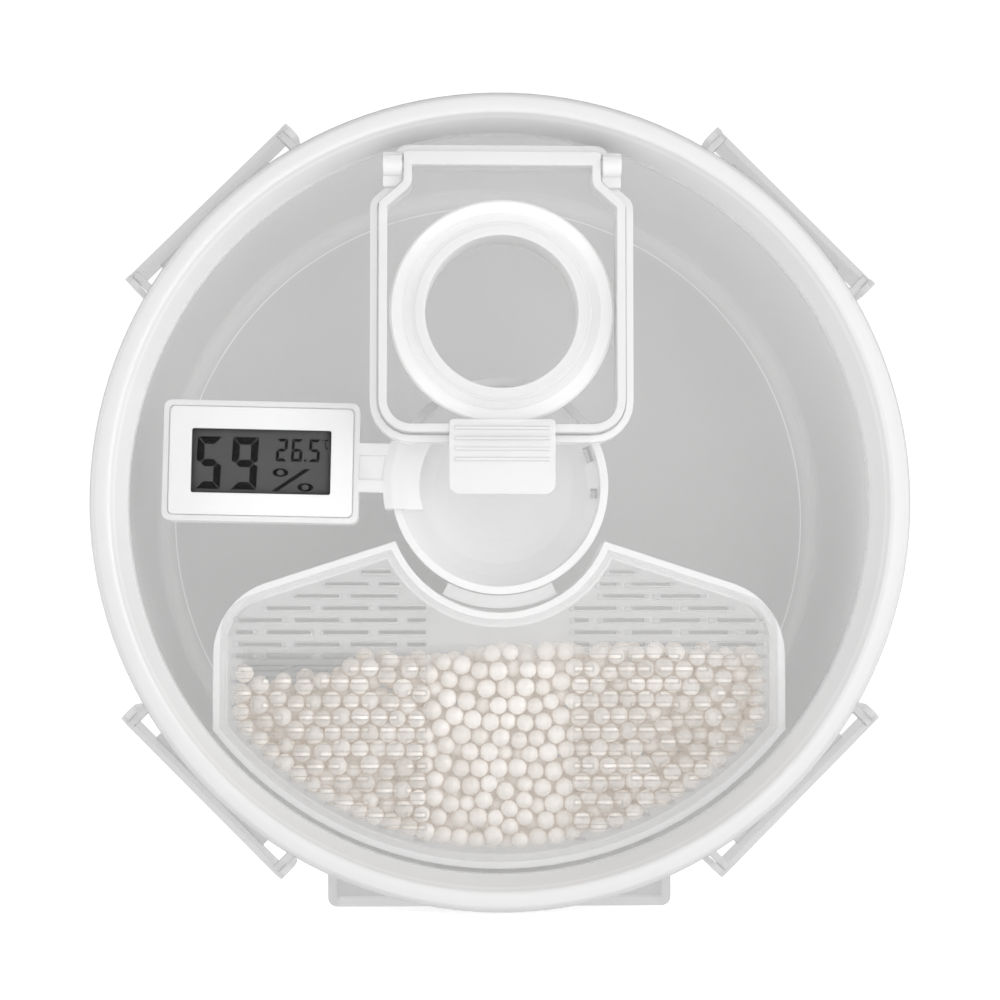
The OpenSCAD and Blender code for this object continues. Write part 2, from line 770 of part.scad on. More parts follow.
module hygro_board() color("darkgreen") place() at_hygro() {
    slab(board_depth, board_depth + board_t)
        square([body_w - 2 * case_wall - 2 * seat, body_h - 2 * case_wall - 2 * seat], center = true);
    // contact strip from the board to the display
    slab(hygro_front + 2 * window_t + display_t, board_depth)
        translate([0, display_h / 2 - 1]) square([display_w - 4, 2], center = true);
}

module hygro_sensor() color("white") place() at_hygro()
    slab(board_depth + board_t, board_depth + board_t + 2)
        translate([body_w / 2 - 6, 0]) square([5, 5], center = true);

cell_x = cell_r + 0.6;
cell_front = board_depth + board_t + 0.6;

module hygro_cells() color("silver") place() at_hygro() for (s = [-1, 1])
    translate([s * cell_x, 0, 0]) disc(cell_r, cell_front, cell_front + cell_t);

module hygro_contacts() color("goldenrod") place() at_hygro() for (s = [-1, 1])
    slab(board_depth + board_t, cell_front)
        translate([s * cell_x, 0]) square([6, 3], center = true);

module hygro_back_case() color("white") place() at_hygro() difference() {
    rounded_slab(body_w, body_h, 1, hygro_back - back_t, hygro_back);
    rounded_slab(door_w + 2 * seat, door_h + 2 * seat, 1, hygro_back - back_t - 1, hygro_back + 1);
    for (i = [-2:2]) slab(hygro_back - back_t - 1, hygro_back + 1)
        translate([body_w / 2 - 5, i * 2.4]) square([4.4, 0.9], center = true);
}

door_w = 4 * cell_r + 3;
door_h = 2 * cell_r + 2;

module hygro_cell_door() color("white") place() at_hygro()
    rounded_slab(door_w, door_h, 0.8, hygro_back - back_t, hygro_back);

// ---------------------------------------------------------------- desiccant box

// Direction across the shoulder, outwards, and the shoulder line's distance along it
shoulder_n = [sin(shoulder_slope), cos(shoulder_slope)];
shoulder_u = [cos(shoulder_slope), -sin(shoulder_slope)];
tip_y = hub_rise - saddle_tip_drop;
tip_x = sqrt(saddle_r * saddle_r - pow(tip_y - saddle_y, 2));
shoulder_c = shoulder_n * [tip_x, tip_y];

// Tip of the saddle when the outline is moved inwards by d
function saddle_tip(d) =
    let (h = shoulder_c - d - shoulder_n * [0, saddle_y])
    [0, saddle_y] + shoulder_n * h + shoulder_u * sqrt(pow(saddle_r + d, 2) - h * h);

// Right half of the outline above the floor arc, from the side up to the saddle's tip
function tray_right(d) =
    let (
        w = tray_half_w - d,
        low = [w, -sqrt(pow(tray_r - d, 2) - w * w)],
        shoulder = [w, (shoulder_c - d - shoulder_n[0] * w) / shoulder_n[1]],
        tip = saddle_tip(d)
    )
    concat([low], corner_arc(low, shoulder, tip, max(shoulder_r - d, 0.5), 8), [tip]);

function mirrored(pts) = [for (i = [len(pts) - 1:-1:0]) [-pts[i][0], pts[i][1]]];

// Outline of the desiccant box, moved inwards by d: floor arc, side, shoulder, saddle
function tray_points(d) =
    let (
        right = tray_right(d),
        low_a = atan2(right[0][1], right[0][0]),
        tip = saddle_tip(d) - [0, saddle_y],
        tip_a = atan2(tip[1], tip[0])
    )
    concat(
        arc([0, 0], tray_r - d, -180 - low_a, low_a, 24),
        [for (i = [1:len(right) - 1]) right[i]],
        arc([0, saddle_y], saddle_r + d, tip_a, -180 - tip_a, 20),
        [let (left = mirrored(right)) for (i = [1:len(left) - 2]) left[i]]
    );

module tray_outline(d) {
    polygon(tray_points(d));
}

// Left and right ends of a row of slots at height y, on the right-hand side of the box
function row_from(y) =
    max(plain_half_w, sqrt(max(pow(saddle_r + slot_margin, 2) - pow(y - saddle_y, 2), 0)));
function row_to(y) =
    let (w = tray_half_w - slot_margin)
    min(
        w,
        sqrt(max(pow(tray_r - slot_margin, 2) - y * y, 0)),
        (shoulder_c - slot_margin - shoulder_n[1] * y) / shoulder_n[0]
    );

slot_step = slot_len + slot_gap;
slot_rows = floor((tray_r + tip_y - slot_margin) / slot_pitch);

// Both fields of slots, in rows like brickwork, cut off where the field ends
module slots() {
    for (row = [0:slot_rows]) {
        y = tip_y - slot_margin - row * slot_pitch;
        shift = (row % 2) * slot_step / 2;
        for (x = [plain_half_w - shift:slot_step:tray_half_w]) {
            from = max(x, row_from(y));
            to = min(x + slot_len, row_to(y));
            if (to - from > 2) for (s = [0, 1]) mirror([s, 0])
                translate([from, y - slot_h / 2]) square([to - from, slot_h]);
        }
    }
}

module perforated(front, back) {
    slab(front, back) difference() {
        tray_outline(0);
        slots();
    }
}

module desiccant_tray() color("whitesmoke", 0.5) place() {
    perforated(tray_back - plate_t, tray_back);
    slab(cover_back, tray_back - plate_t / 2) difference() {
        tray_outline(0);
        tray_outline(tray_wall);
    }
    // hanger that rests against the underside of the cup's rim
    hanger_r = cup_r + seat;
    translate([0, hub_rise, 0]) {
        slab(cup_front + 1, tray_back) polygon(concat(
            arc([0, 0], hanger_r, -90 - hanger_half_angle, -90 + hanger_half_angle, 16),
            arc(
                [0, 0], hanger_r + hanger_t,
                -90 + hanger_half_angle, -90 - hanger_half_angle, 16
            )
        ));
        // back plate that joins the hanger to the tray
        slab(tray_back - plate_t, tray_back) polygon(concat(
            arc([0, 0], hanger_r, -90 - hanger_half_angle, -90 + hanger_half_angle, 16),
            arc(
                [0, 0], hanger_r + hanger_t + 3.5,
                -90 + hanger_half_angle, -90 - hanger_half_angle, 16
            )
        ));
    }
}

module desiccant_cover() color("whitesmoke", 0.5) place() {
    perforated(tray_front, cover_back);
    // lip that locates the cover inside the tray's wall
    slab(cover_back - plate_t / 2, cover_back + 2) difference() {
        tray_outline(tray_wall + seat);
        tray_outline(tray_wall + seat + lip_t);
    }
    // stiffening ribs on the plain field
    for (x = [plain_half_w - 2, 3.5]) for (s = [-1, 1])
        slab(tray_front - 0.5, tray_front + 0.1)
            translate([s * x - 0.5, rib_low(x)]) square([1, rib_top(x) - rib_low(x)]);
}

function rib_low(x) = 4 - sqrt(tray_r * tray_r - x * x);
function rib_top(x) = saddle_y - sqrt(pow(saddle_r + 4, 2) - x * x);

module desiccant_beads() color("antiquewhite") place()
    slab(cover_back + seat, tray_back - plate_t) intersection() {
        tray_outline(bead_inset);
        bead_y = hub_rise - bead_drop;
        translate([-tray_half_w, bead_y - 2 * tray_half_w]) square(2 * tray_half_w);
    }

container();
foot();
hub_post();
hub_cup();
lid();
lid_seal();
latch_top_right();
latch_top_left();
latch_bottom_left();
latch_bottom_right();
port_collar();
flip_cap();
cap_gasket();
sensor_holder();
hygro_front_case();
hygro_window();
hygro_display();
hygro_board();
hygro_sensor();
hygro_cells();
hygro_contacts();
hygro_back_case();
hygro_cell_door();
desiccant_tray();
desiccant_cover();
desiccant_beads();
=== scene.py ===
import math

import bpy
import numpy as np
from bpy.props import FloatProperty, FloatVectorProperty, IntProperty, PointerProperty
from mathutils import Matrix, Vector


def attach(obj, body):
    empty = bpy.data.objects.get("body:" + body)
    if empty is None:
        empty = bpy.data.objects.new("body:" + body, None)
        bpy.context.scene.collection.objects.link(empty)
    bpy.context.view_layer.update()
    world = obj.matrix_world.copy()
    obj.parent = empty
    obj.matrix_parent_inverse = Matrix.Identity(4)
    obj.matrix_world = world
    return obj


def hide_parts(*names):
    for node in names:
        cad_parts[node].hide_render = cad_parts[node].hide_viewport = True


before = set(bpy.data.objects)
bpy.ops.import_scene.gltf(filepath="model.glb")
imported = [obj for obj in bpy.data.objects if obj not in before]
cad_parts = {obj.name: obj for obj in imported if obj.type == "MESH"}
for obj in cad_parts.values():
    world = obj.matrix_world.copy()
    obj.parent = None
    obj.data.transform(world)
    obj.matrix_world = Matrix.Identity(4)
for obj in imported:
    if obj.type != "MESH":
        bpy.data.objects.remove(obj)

bl_info = {
    "name": "Filament dryer box looks",
    "version": (1, 0, 0),
    "blender": (4, 5, 0),
    "location": "3D View > Sidebar > Dryer box",
    "description": "Frosted plastic, beads, display and studio for the filament dryer box",
    "category": "Object",
}

# Sizes of the solids in metres. Depths are behind the rim's front face.
AXIS_Z = 0.1084
FRONT_Y = -0.055
HUB_Z = AXIS_Z + 0.0045
RIM_ARC_R = 0.1045  # where the rim's outer edge starts to round off
PANEL_R = 0.0985  # where the lid's clear panel ends
PANEL_FRONT = 0.0122
RIM_BANDS_R, RIM_BANDS_W = 0.095, 0.013
PORT_HEIGHT, PORT_R = 0.05, 0.0204
COLLAR_FLANGE_R = 0.0226
CAP_PLATE_FRONT = 0.0033
NO_RADIUS, NO_DEPTH = 1.0, -1.0  # beyond every piece, so that the zone is empty
LATCHES = ("latch_top_right", "latch_top_left", "latch_bottom_left", "latch_bottom_right")

HOLDER_TILT = -1.1
HOLDER_REACH, HOLDER_RISE = 0.0644, 0.005
DISPLAY_DEPTH = 0.0194

TRAY_HALF_W, TRAY_R = 0.0768, 0.0982
TRAY_FRONT, TRAY_INSIDE_BACK = 0.0174, 0.0344
SADDLE_Y, SADDLE_R = 0.0005, 0.0303
SHOULDER_SLOPE, SHOULDER_C = math.radians(18.0), -0.00137
SLOT_LEN, SLOT_H, SLOT_PITCH, SLOT_GAP = 0.0126, 0.00095, 0.00325, 0.0028
SLOT_MARGIN = 0.005
SLOTS_TOP = -0.0106  # height of the saddle's tips, below which the rows start
PLAIN_HALF_W = 0.020
MIN_SLOT_LEN = 0.002

BEAD_FRONT, BEAD_BACK = 0.0192, 0.0344
BEAD_INSET = 0.0048
BEAD_LEVEL = -0.0375
BEAD_JITTER = 0.24  # share of a bead's size
BEAD_ROUNDS, BEAD_PUSH = 60, 0.35


# ---------------------------------------------------------------- settings


class DryerBoxSettings(bpy.types.PropertyGroup):
    """Sizes and tones that can be changed before the pieces are made."""

    bead_size: FloatProperty(
        name="Bead size", description="Diameter of a desiccant bead",
        default=0.005, min=0.003, max=0.007, unit="LENGTH",
    )
    bead_spread: FloatProperty(
        name="Bead spread", description="Size range of the beads, as a share of their size",
        default=0.09, min=0.0, max=0.2, subtype="FACTOR",
    )
    bead_seed: IntProperty(
        name="Bead seed", description="Seed of the beads' places", default=7, min=0,
    )
    humidity: IntProperty(
        name="Humidity", description="Large number on the display, in percent",
        default=59, min=10, max=99,
    )
    temperature: FloatProperty(
        name="Temperature", description="Small number on the display, in degrees",
        default=26.5, min=10.0, max=99.9, precision=1,
    )
    edge: FloatProperty(
        name="Edge rounding", description="Radius that light sees on the moulded edges",
        default=0.0005, min=0.0, max=0.002, unit="LENGTH",
    )
    grain: FloatProperty(
        name="Moulded grain", description="Strength of the plastic's fine surface grain",
        default=0.04, min=0.0, max=1.0, subtype="FACTOR",
    )
    camera_from: FloatVectorProperty(
        name="Camera place", description="Where the camera stands, in the row frame",
        default=(-0.0223, -0.655, 0.074), subtype="XYZ", unit="LENGTH",
    )
    camera_lens: FloatProperty(
        name="Lens", description="Focal length for a 36 mm sensor", default=82.7, min=20, max=300,
    )


# ---------------------------------------------------------------- shader helpers


def socket(tree, kind, name, direction, default=None):
    """Adds a socket to a node group's interface."""
    s = tree.interface.new_socket(name=name, in_out=direction, socket_type=kind)
    if default is not None:
        s.default_value = default
    return s


def add(tree, kind, inputs=None, **settings):
    """Adds a node, sets its properties and links or sets its inputs."""
    n = tree.nodes.new(kind)
    for key, value in settings.items():
        setattr(n, key, value)
    for key, value in (inputs or {}).items():
        if isinstance(value, bpy.types.NodeSocket):
            tree.links.new(value, n.inputs[key])
        else:
            n.inputs[key].default_value = value
    return n


def grey(tone):
    """A neutral colour."""
    return (tone, tone, tone)


def math_node(tree, operation, a, b=None, clamp=False):
    """A Math node's output for the operation on a and b."""
    inputs = {0: a} if b is None else {0: a, 1: b}
    return add(tree, "ShaderNodeMath", inputs, operation=operation, use_clamp=clamp).outputs[0]


def ramp(tree, value, low, high, to_low=0.0, to_high=1.0):
    """A smooth step of value from low to high."""
    n = add(
        tree, "ShaderNodeMapRange",
        {"Value": value, "From Min": low, "From Max": high, "To Min": to_low, "To Max": to_high},
        interpolation_type="SMOOTHSTEP",
    )
    return n.outputs["Result"]


def length(tree, a, b):
    """The length of the vector with parts a and b."""
    squares = math_node(tree, "MULTIPLY", a, a), math_node(tree, "MULTIPLY", b, b)
    return math_node(tree, "SQRT", math_node(tree, "ADD", *squares))


def new_group(name):
    """An empty shader node group, or None when it is there already."""
    if name in bpy.data.node_groups:
        return None
    return bpy.data.node_groups.new(name, "ShaderNodeTree")


def moulded_group():
    """Moulded plastic: rounded edges, a fine grain and a faint cloudiness from flow."""
    name = "Moulded plastic"
    g = new_group(name)
    if g is None:
        return bpy.data.node_groups[name]
    socket(g, "NodeSocketFloat", "Edge", "INPUT", 0.0005)
    socket(g, "NodeSocketFloat", "Grain", "INPUT", 0.12)
    socket(g, "NodeSocketFloat", "Roughness", "INPUT", 0.4)
    socket(g, "NodeSocketVector", "Normal", "OUTPUT")
    socket(g, "NodeSocketFloat", "Roughness", "OUTPUT")
    socket(g, "NodeSocketFloat", "Cloud", "OUTPUT")
    i = add(g, "NodeGroupInput")
    o = add(g, "NodeGroupOutput")
    place = add(g, "ShaderNodeTexCoord").outputs["Object"]
    fine = add(
        g, "ShaderNodeTexNoise", {"Vector": place, "Scale": 1600.0, "Detail": 0.0}
    )
    flow = add(
        g, "ShaderNodeTexNoise",
        {"Vector": place, "Scale": 26.0, "Detail": 1.0, "Roughness": 0.55},
    )
    edge = add(g, "ShaderNodeBevel", {"Radius": i.outputs["Edge"]}, samples=4)
    bump = add(
        g, "ShaderNodeBump",
        {
            "Strength": i.outputs["Grain"], "Distance": 0.0001,
            "Height": fine.outputs[0], "Normal": edge.outputs[0],
        },
    )
    vary = ramp(g, flow.outputs[0], 0.0, 1.0, -0.08, 0.08)
    g.links.new(bump.outputs[0], o.inputs["Normal"])
    g.links.new(
        math_node(g, "ADD", i.outputs["Roughness"], vary, clamp=True), o.inputs["Roughness"]
    )
    g.links.new(flow.outputs[0], o.inputs["Cloud"])
    return g


def zone_group():
    """Masks of the plastic's thick places: how far out from the axis a point is, how far in
    front of a depth, how much its face looks sideways, as a wall seen along its height, and
    whether it looks away from the axis, as a wall's outside does."""
    name = "Thick zones"
    g = new_group(name)
    if g is None:
        return bpy.data.node_groups[name]
    socket(g, "NodeSocketFloat", "Radius", "INPUT", 0.1)
    socket(g, "NodeSocketFloat", "Depth", "INPUT", 0.01)
    socket(g, "NodeSocketFloat", "Height", "INPUT", 0.0)
    socket(g, "NodeSocketFloat", "Outside", "OUTPUT")
    socket(g, "NodeSocketFloat", "Beyond", "OUTPUT")
    socket(g, "NodeSocketFloat", "In front", "OUTPUT")
    socket(g, "NodeSocketFloat", "Sideways", "OUTPUT")
    socket(g, "NodeSocketFloat", "Outwards", "OUTPUT")
    i = add(g, "NodeGroupInput")
    o = add(g, "NodeGroupOutput")
    where = add(g, "ShaderNodeTexCoord")
    xyz = add(g, "ShaderNodeSeparateXYZ", {0: where.outputs["Object"]})
    facing = add(g, "ShaderNodeSeparateXYZ", {0: where.outputs["Normal"]})
    flat = math_node(g, "ABSOLUTE", facing.outputs["Y"])
    g.links.new(ramp(g, flat, 0.8, 0.3), o.inputs["Sideways"])
    up = math_node(g, "SUBTRACT", xyz.outputs["Z"], AXIS_Z)
    up = math_node(g, "SUBTRACT", up, i.outputs["Height"])
    away = math_node(
        g, "ADD", math_node(g, "MULTIPLY", facing.outputs["X"], xyz.outputs["X"]),
        math_node(g, "MULTIPLY", facing.outputs["Z"], up),
    )
    g.links.new(ramp(g, away, 0.02, 0.07), o.inputs["Outwards"])
    out = math_node(g, "SUBTRACT", length(g, xyz.outputs["X"], up), i.outputs["Radius"])
    g.links.new(ramp(g, out, 0.0, 0.0012), o.inputs["Outside"])
    g.links.new(out, o.inputs["Beyond"])
    depth = math_node(g, "SUBTRACT", xyz.outputs["Y"], FRONT_Y)
    front = math_node(g, "SUBTRACT", i.outputs["Depth"], depth)
    g.links.new(ramp(g, front, 0.0, 0.0008), o.inputs["In front"])
    return g


def tray_group():
    """Masks of the desiccant box's side wall, of its cover's lip and of the bead heap. They
    come from how far a point is inside the outline: the smallest distance to the floor arc,
    the sides, the shoulders and the saddle, blended at the rounded shoulders."""
    name = "Desiccant box outline"
    g = new_group(name)
    if g is None:
        return bpy.data.node_groups[name]
    socket(g, "NodeSocketFloat", "Wall", "OUTPUT")
    socket(g, "NodeSocketFloat", "Lip", "OUTPUT")
    socket(g, "NodeSocketFloat", "Filled", "OUTPUT")
    o = add(g, "NodeGroupOutput")
    xyz = add(g, "ShaderNodeSeparateXYZ", {0: add(g, "ShaderNodeTexCoord").outputs["Object"]})
    x = math_node(g, "ABSOLUTE", xyz.outputs["X"])
    y = math_node(g, "SUBTRACT", xyz.outputs["Z"], AXIS_Z)
    across = math_node(
        g, "ADD", math_node(g, "MULTIPLY", x, math.sin(SHOULDER_SLOPE)),
        math_node(g, "MULTIPLY", y, math.cos(SHOULDER_SLOPE)),
    )
    shoulder = math_node(g, "SUBTRACT", SHOULDER_C, across)
    side = math_node(g, "SUBTRACT", TRAY_HALF_W, x)
    floor = math_node(g, "SUBTRACT", TRAY_R, length(g, x, y))
    saddle = math_node(
        g, "SUBTRACT", length(g, x, math_node(g, "SUBTRACT", y, SADDLE_Y)), SADDLE_R
    )
    corner = add(g, "ShaderNodeMath", {0: shoulder, 1: side, 2: 0.012}, operation="SMOOTH_MIN")
    inside = math_node(g, "MINIMUM", corner.outputs[0], math_node(g, "MINIMUM", floor, saddle))
    g.links.new(ramp(g, inside, 0.0021, 0.0017), o.inputs["Wall"])
    g.links.new(ramp(g, inside, 0.0046, 0.0036), o.inputs["Lip"])
    heap = math_node(g, "MULTIPLY", ramp(g, y, -0.037, -0.044), ramp(g, inside, 0.006, 0.009))
    g.links.new(heap, o.inputs["Filled"])
    return g


# Tone of the painted light: emission that lightens plastic which is no lamp
PAINTED_GLOW_TONE = grey(0.95)


def new_material(name):
    """A material with an empty tree and its output node."""
    m = bpy.data.materials.new(name)
    m.use_nodes = True
    m.node_tree.nodes.clear()
    return m, m.node_tree, add(m.node_tree, "ShaderNodeOutputMaterial")


def surface(tree, s, rough):
    """The moulded group's outputs for a material."""
    n = add(tree, "ShaderNodeGroup", node_tree=moulded_group())
    n.inputs["Edge"].default_value = s.edge
    n.inputs["Grain"].default_value = s.grain
    n.inputs["Roughness"].default_value = rough
    return n


def tint(tree, fac, a, b):
    """A mix of two colours by a factor."""
    n = add(tree, "ShaderNodeMix", {"Factor": fac}, data_type="RGBA")
    n.inputs[6].default_value = (*a, 1)
    n.inputs[7].default_value = (*b, 1)
    return n.outputs[2]


def masks(tree, radius, depth=-1.0, height=0.0):
    """The thick zones' masks for a radius and a depth, about an axis at a height."""
    where = {"Radius": radius, "Depth": depth, "Height": height}
    return add(tree, "ShaderNodeGroup", where, node_tree=zone_group()).outputs


def slot_edge_plastic(name, low, high):
    """The slots' raised edges: bright on the bare plate, faint where the beads lie behind."""
    m, t, out = new_material(name)
    filled = add(t, "ShaderNodeGroup", node_tree=tray_group()).outputs["Filled"]
    flow = add(
        t, "ShaderNodeTexNoise",
        {"Vector": add(t, "ShaderNodeTexCoord").outputs["Object"], "Scale": 90.0, "Detail": 1.0},
    ).outputs[0]
    p = add(
        t, "ShaderNodeBsdfPrincipled",
        {
            "Base Color": tint(t, flow, low, high), "Roughness": 0.35,
            "Alpha": math_node(t, "SUBTRACT", 0.38, math_node(t, "MULTIPLY", filled, 0.35)),
        },
    )
    t.links.new(p.outputs[0], out.inputs["Surface"])
    return m


def grey_bands(tree, value, span, stops):
    """Grey tones along a value from 0 to span. Each stop is a place in metres and a tone, and
    the first two are the ends."""
    fac = math_node(tree, "DIVIDE", value, span, clamp=True)
    n = add(tree, "ShaderNodeValToRGB", {0: fac})
    places = n.color_ramp.elements
    for k, (at, tone) in enumerate(stops):
        e = places[k] if k < 2 else places.new(at / span)
        e.position, e.color = at / span, (tone, tone, tone, 1)
    return n.outputs[0]


def frosted(
    name, s, thin, thick, low, high, rough=0.38,
    zone=None, rim=None, clear=None, outline=None, painted_glow=0.0, outside=None,
):
    """Translucent white plastic. Thin walls let most of what is behind through, thick places
    are milkier.

    low, high   the two tones that the cloudiness mixes
    zone        radius and depth where the thick places start, besides the faces that look
                sideways; without it the whole piece is thin
    rim         radius, width and grey tones of painted light and shade outside it, and their centre's height
    clear       height, radius and opacity of a round window
    outline     radius outside which a rounded edge gets a painted dark shade where it turns away from the view
    glow        painted light: emission that lifts the piece's shade, though it is no lamp
    outside     painted shade: a darker tone on a wall's outer face, turned away from the axis
    """
    m, t, out = new_material(name)
    mould = surface(t, s, rough)
    colour = tint(t, mould.outputs["Cloud"], low, high)
    if zone is not None:
        z = masks(t, zone[0], zone[1])
        mask = math_node(t, "MAXIMUM", z["Outside"], z["In front"])
        mask = math_node(t, "MAXIMUM", mask, z["Sideways"])
    # painted light and shade: grey tones laid by the distance outside the radius
    if rim is not None:
        edge = masks(t, rim[0], height=rim[3])
        painted_rim_shading = grey_bands(t, edge["Beyond"], rim[1], rim[2])
        mix = add(
            t, "ShaderNodeMix", {"Factor": edge["Outside"], 6: colour, 7: painted_rim_shading}, data_type="RGBA"
        )
        colour = mix.outputs[2]
    if outside is not None:
        # painted shade: faces turned away from the axis take the darker outside tone
        mix = add(
            t, "ShaderNodeMix", {"Factor": masks(t, 0.1)["Outwards"], 6: colour}, data_type="RGBA"
        )
        mix.inputs[7].default_value = (*grey(outside), 1)
        colour = mix.outputs[2]
    if outline is not None:
        # painted shade: outside the radius, the rounded edge is darkened towards grey 0.12 where
        # it turns away from the view, as a dark contour
        turned = add(t, "ShaderNodeLayerWeight", {"Blend": 0.5}).outputs["Facing"]
        dark = math_node(
            t, "MULTIPLY", ramp(t, turned, 0.55, 0.9, 0.0, 0.85), masks(t, outline)["Outside"]
        )
        mix = add(t, "ShaderNodeMix", {"Factor": dark, 6: colour}, data_type="RGBA")
        mix.inputs[7].default_value = (*grey(0.12), 1)
        colour = mix.outputs[2]
    # The emission is painted light that lifts the plastic's shaded places
    p = add(
        t, "ShaderNodeBsdfPrincipled",
        {
            "Base Color": colour, "Roughness": mould.outputs["Roughness"],
            "Normal": mould.outputs["Normal"], "IOR": 1.49,
            "Emission Color": (*PAINTED_GLOW_TONE, 1.0), "Emission Strength": painted_glow,
        },
    )
    if zone is None:
        p.inputs["Alpha"].default_value = thin
    else:
        alpha = add(
            t, "ShaderNodeMapRange", {"Value": mask, "To Min": thin, "To Max": thick}
        ).outputs["Result"]
        if clear is not None:
            spot = masks(t, clear[1], height=clear[0])["Outside"]
            alpha = add(t, "ShaderNodeMix", {"Factor": spot, 2: clear[2], 3: alpha}).outputs[0]
        t.links.new(alpha, p.inputs["Alpha"])
    t.links.new(p.outputs[0], out.inputs["Surface"])
    return m


def tray_plastic(name, s, low, high, flat):
    """The desiccant box's clear plastic: milky where its side wall and the cover's lip are
    seen along their height, and clearer where the beads lie against it. Flat is the opacity
    of its slotted plate."""
    m, t, out = new_material(name)
    mould = surface(t, s, 0.35)
    z = add(t, "ShaderNodeGroup", node_tree=tray_group())
    plate = add(
        t, "ShaderNodeMapRange",
        {"Value": z.outputs["Filled"], "To Min": flat, "To Max": 0.3 * flat},
    ).outputs[0]
    lip = math_node(t, "MULTIPLY", z.outputs["Lip"], 0.3)
    wall = math_node(t, "MULTIPLY", z.outputs["Wall"], 0.5)
    alpha = math_node(t, "MAXIMUM", math_node(t, "MAXIMUM", plate, lip), wall)
    p = add(
        t, "ShaderNodeBsdfPrincipled",
        {
            "Base Color": tint(t, mould.outputs["Cloud"], low, high), "Alpha": alpha,
            "Roughness": mould.outputs["Roughness"], "Normal": mould.outputs["Normal"],
            # painted light: emission that lightens the desiccant box's shaded plastic
            "Emission Color": (*PAINTED_GLOW_TONE, 1.0), "Emission Strength": 0.16,
        },
    )
    t.links.new(p.outputs[0], out.inputs["Surface"])
    return m


def solid_plastic(name, s, low, high, rough, gloss=0.5):
    """Opaque moulded plastic."""
    m, t, out = new_material(name)
    mould = surface(t, s, rough)
    p = add(
        t, "ShaderNodeBsdfPrincipled",
        {
            "Base Color": tint(t, mould.outputs["Cloud"], low, high),
            "Roughness": mould.outputs["Roughness"], "Normal": mould.outputs["Normal"],
            "Specular IOR Level": gloss,
        },
    )
    t.links.new(p.outputs[0], out.inputs["Surface"])
    return m


def metal(name, low, high, rough):
    """Brushed metal, with the brush marks along X."""
    m, t, out = new_material(name)
    place = add(t, "ShaderNodeTexCoord").outputs["Object"]
    stretched = add(t, "ShaderNodeMapping", {"Vector": place, "Scale": (60.0, 2400.0, 2400.0)})
    marks = add(
        t, "ShaderNodeTexNoise", {"Vector": stretched.outputs[0], "Scale": 1.0, "Detail": 3.0}
    )
    bump = add(
        t, "ShaderNodeBump", {"Strength": 0.2, "Distance": 0.0001, "Height": marks.outputs[0]}
    )
    p = add(
        t, "ShaderNodeBsdfPrincipled",
        {
            "Base Color": tint(t, marks.outputs[0], low, high), "Metallic": 1.0,
            "Roughness": ramp(t, marks.outputs[0], 0.2, 0.8, rough - 0.08, rough + 0.08),
            "Normal": bump.outputs[0],
        },
    )
    t.links.new(p.outputs[0], out.inputs["Surface"])
    return m


def board_material(name):
    """Green solder mask with faint copper tracks under it."""
    m, t, out = new_material(name)
    place = add(t, "ShaderNodeTexCoord").outputs["Object"]
    grid = add(
        t, "ShaderNodeTexBrick",
        {
            "Vector": place, "Scale": 260.0, "Color1": (0.01, 0.12, 0.04, 1),
            "Color2": (0.015, 0.16, 0.06, 1), "Mortar": (0.03, 0.26, 0.1, 1), "Mortar Size": 0.06,
        },
    )
    p = add(
        t, "ShaderNodeBsdfPrincipled", {"Base Color": grid.outputs["Color"], "Roughness": 0.3}
    )
    t.links.new(p.outputs[0], out.inputs["Surface"])
    return m


def display_material(name):
    """The liquid crystal's grey field, darker towards its edges, where the case shades it."""
    m, t, out = new_material(name)
    place = add(t, "ShaderNodeTexCoord").outputs["Object"]
    c = holder_point(0, 0)
    flat = add(
        t, "ShaderNodeMapping", {"Vector": place, "Location": (-c[0], 0.0, -c[1])}
    ).outputs[0]
    xyz = add(t, "ShaderNodeSeparateXYZ", {0: flat})
    ax = ramp(t, math_node(t, "ABSOLUTE", xyz.outputs["X"]), 0.0165, 0.0189)
    az = ramp(t, math_node(t, "ABSOLUTE", xyz.outputs["Z"]), 0.0072, 0.009)
    rim = math_node(t, "MAXIMUM", ax, az)
    speck = add(t, "ShaderNodeTexNoise", {"Vector": place, "Scale": 2600.0, "Detail": 1.0})
    dark = math_node(t, "MULTIPLY", rim, 0.75)
    fac = math_node(t, "ADD", dark, ramp(t, speck.outputs[0], 0.3, 0.7, -0.06, 0.06), clamp=True)
    p = add(
        t, "ShaderNodeBsdfPrincipled",
        {
            "Base Color": tint(t, fac, grey(0.062), grey(0.02)),
            "Roughness": 0.5, "Specular IOR Level": 0.15,
        },
    )
    t.links.new(p.outputs[0], out.inputs["Surface"])
    return m


def window_material(name):
    """Clear window with a faint haze and gloss."""
    m, t, out = new_material(name)
    place = add(t, "ShaderNodeTexCoord").outputs["Object"]
    smear = add(t, "ShaderNodeTexNoise", {"Vector": place, "Scale": 120.0, "Detail": 2.0})
    p = add(
        t, "ShaderNodeBsdfPrincipled",
        {
            "Roughness": ramp(t, smear.outputs[0], 0.3, 0.7, 0.05, 0.12),
            "Base Color": tint(t, smear.outputs[0], grey(0.7), grey(0.75)),
            "Alpha": 0.004,
        },
    )
    t.links.new(p.outputs[0], out.inputs["Surface"])
    return m


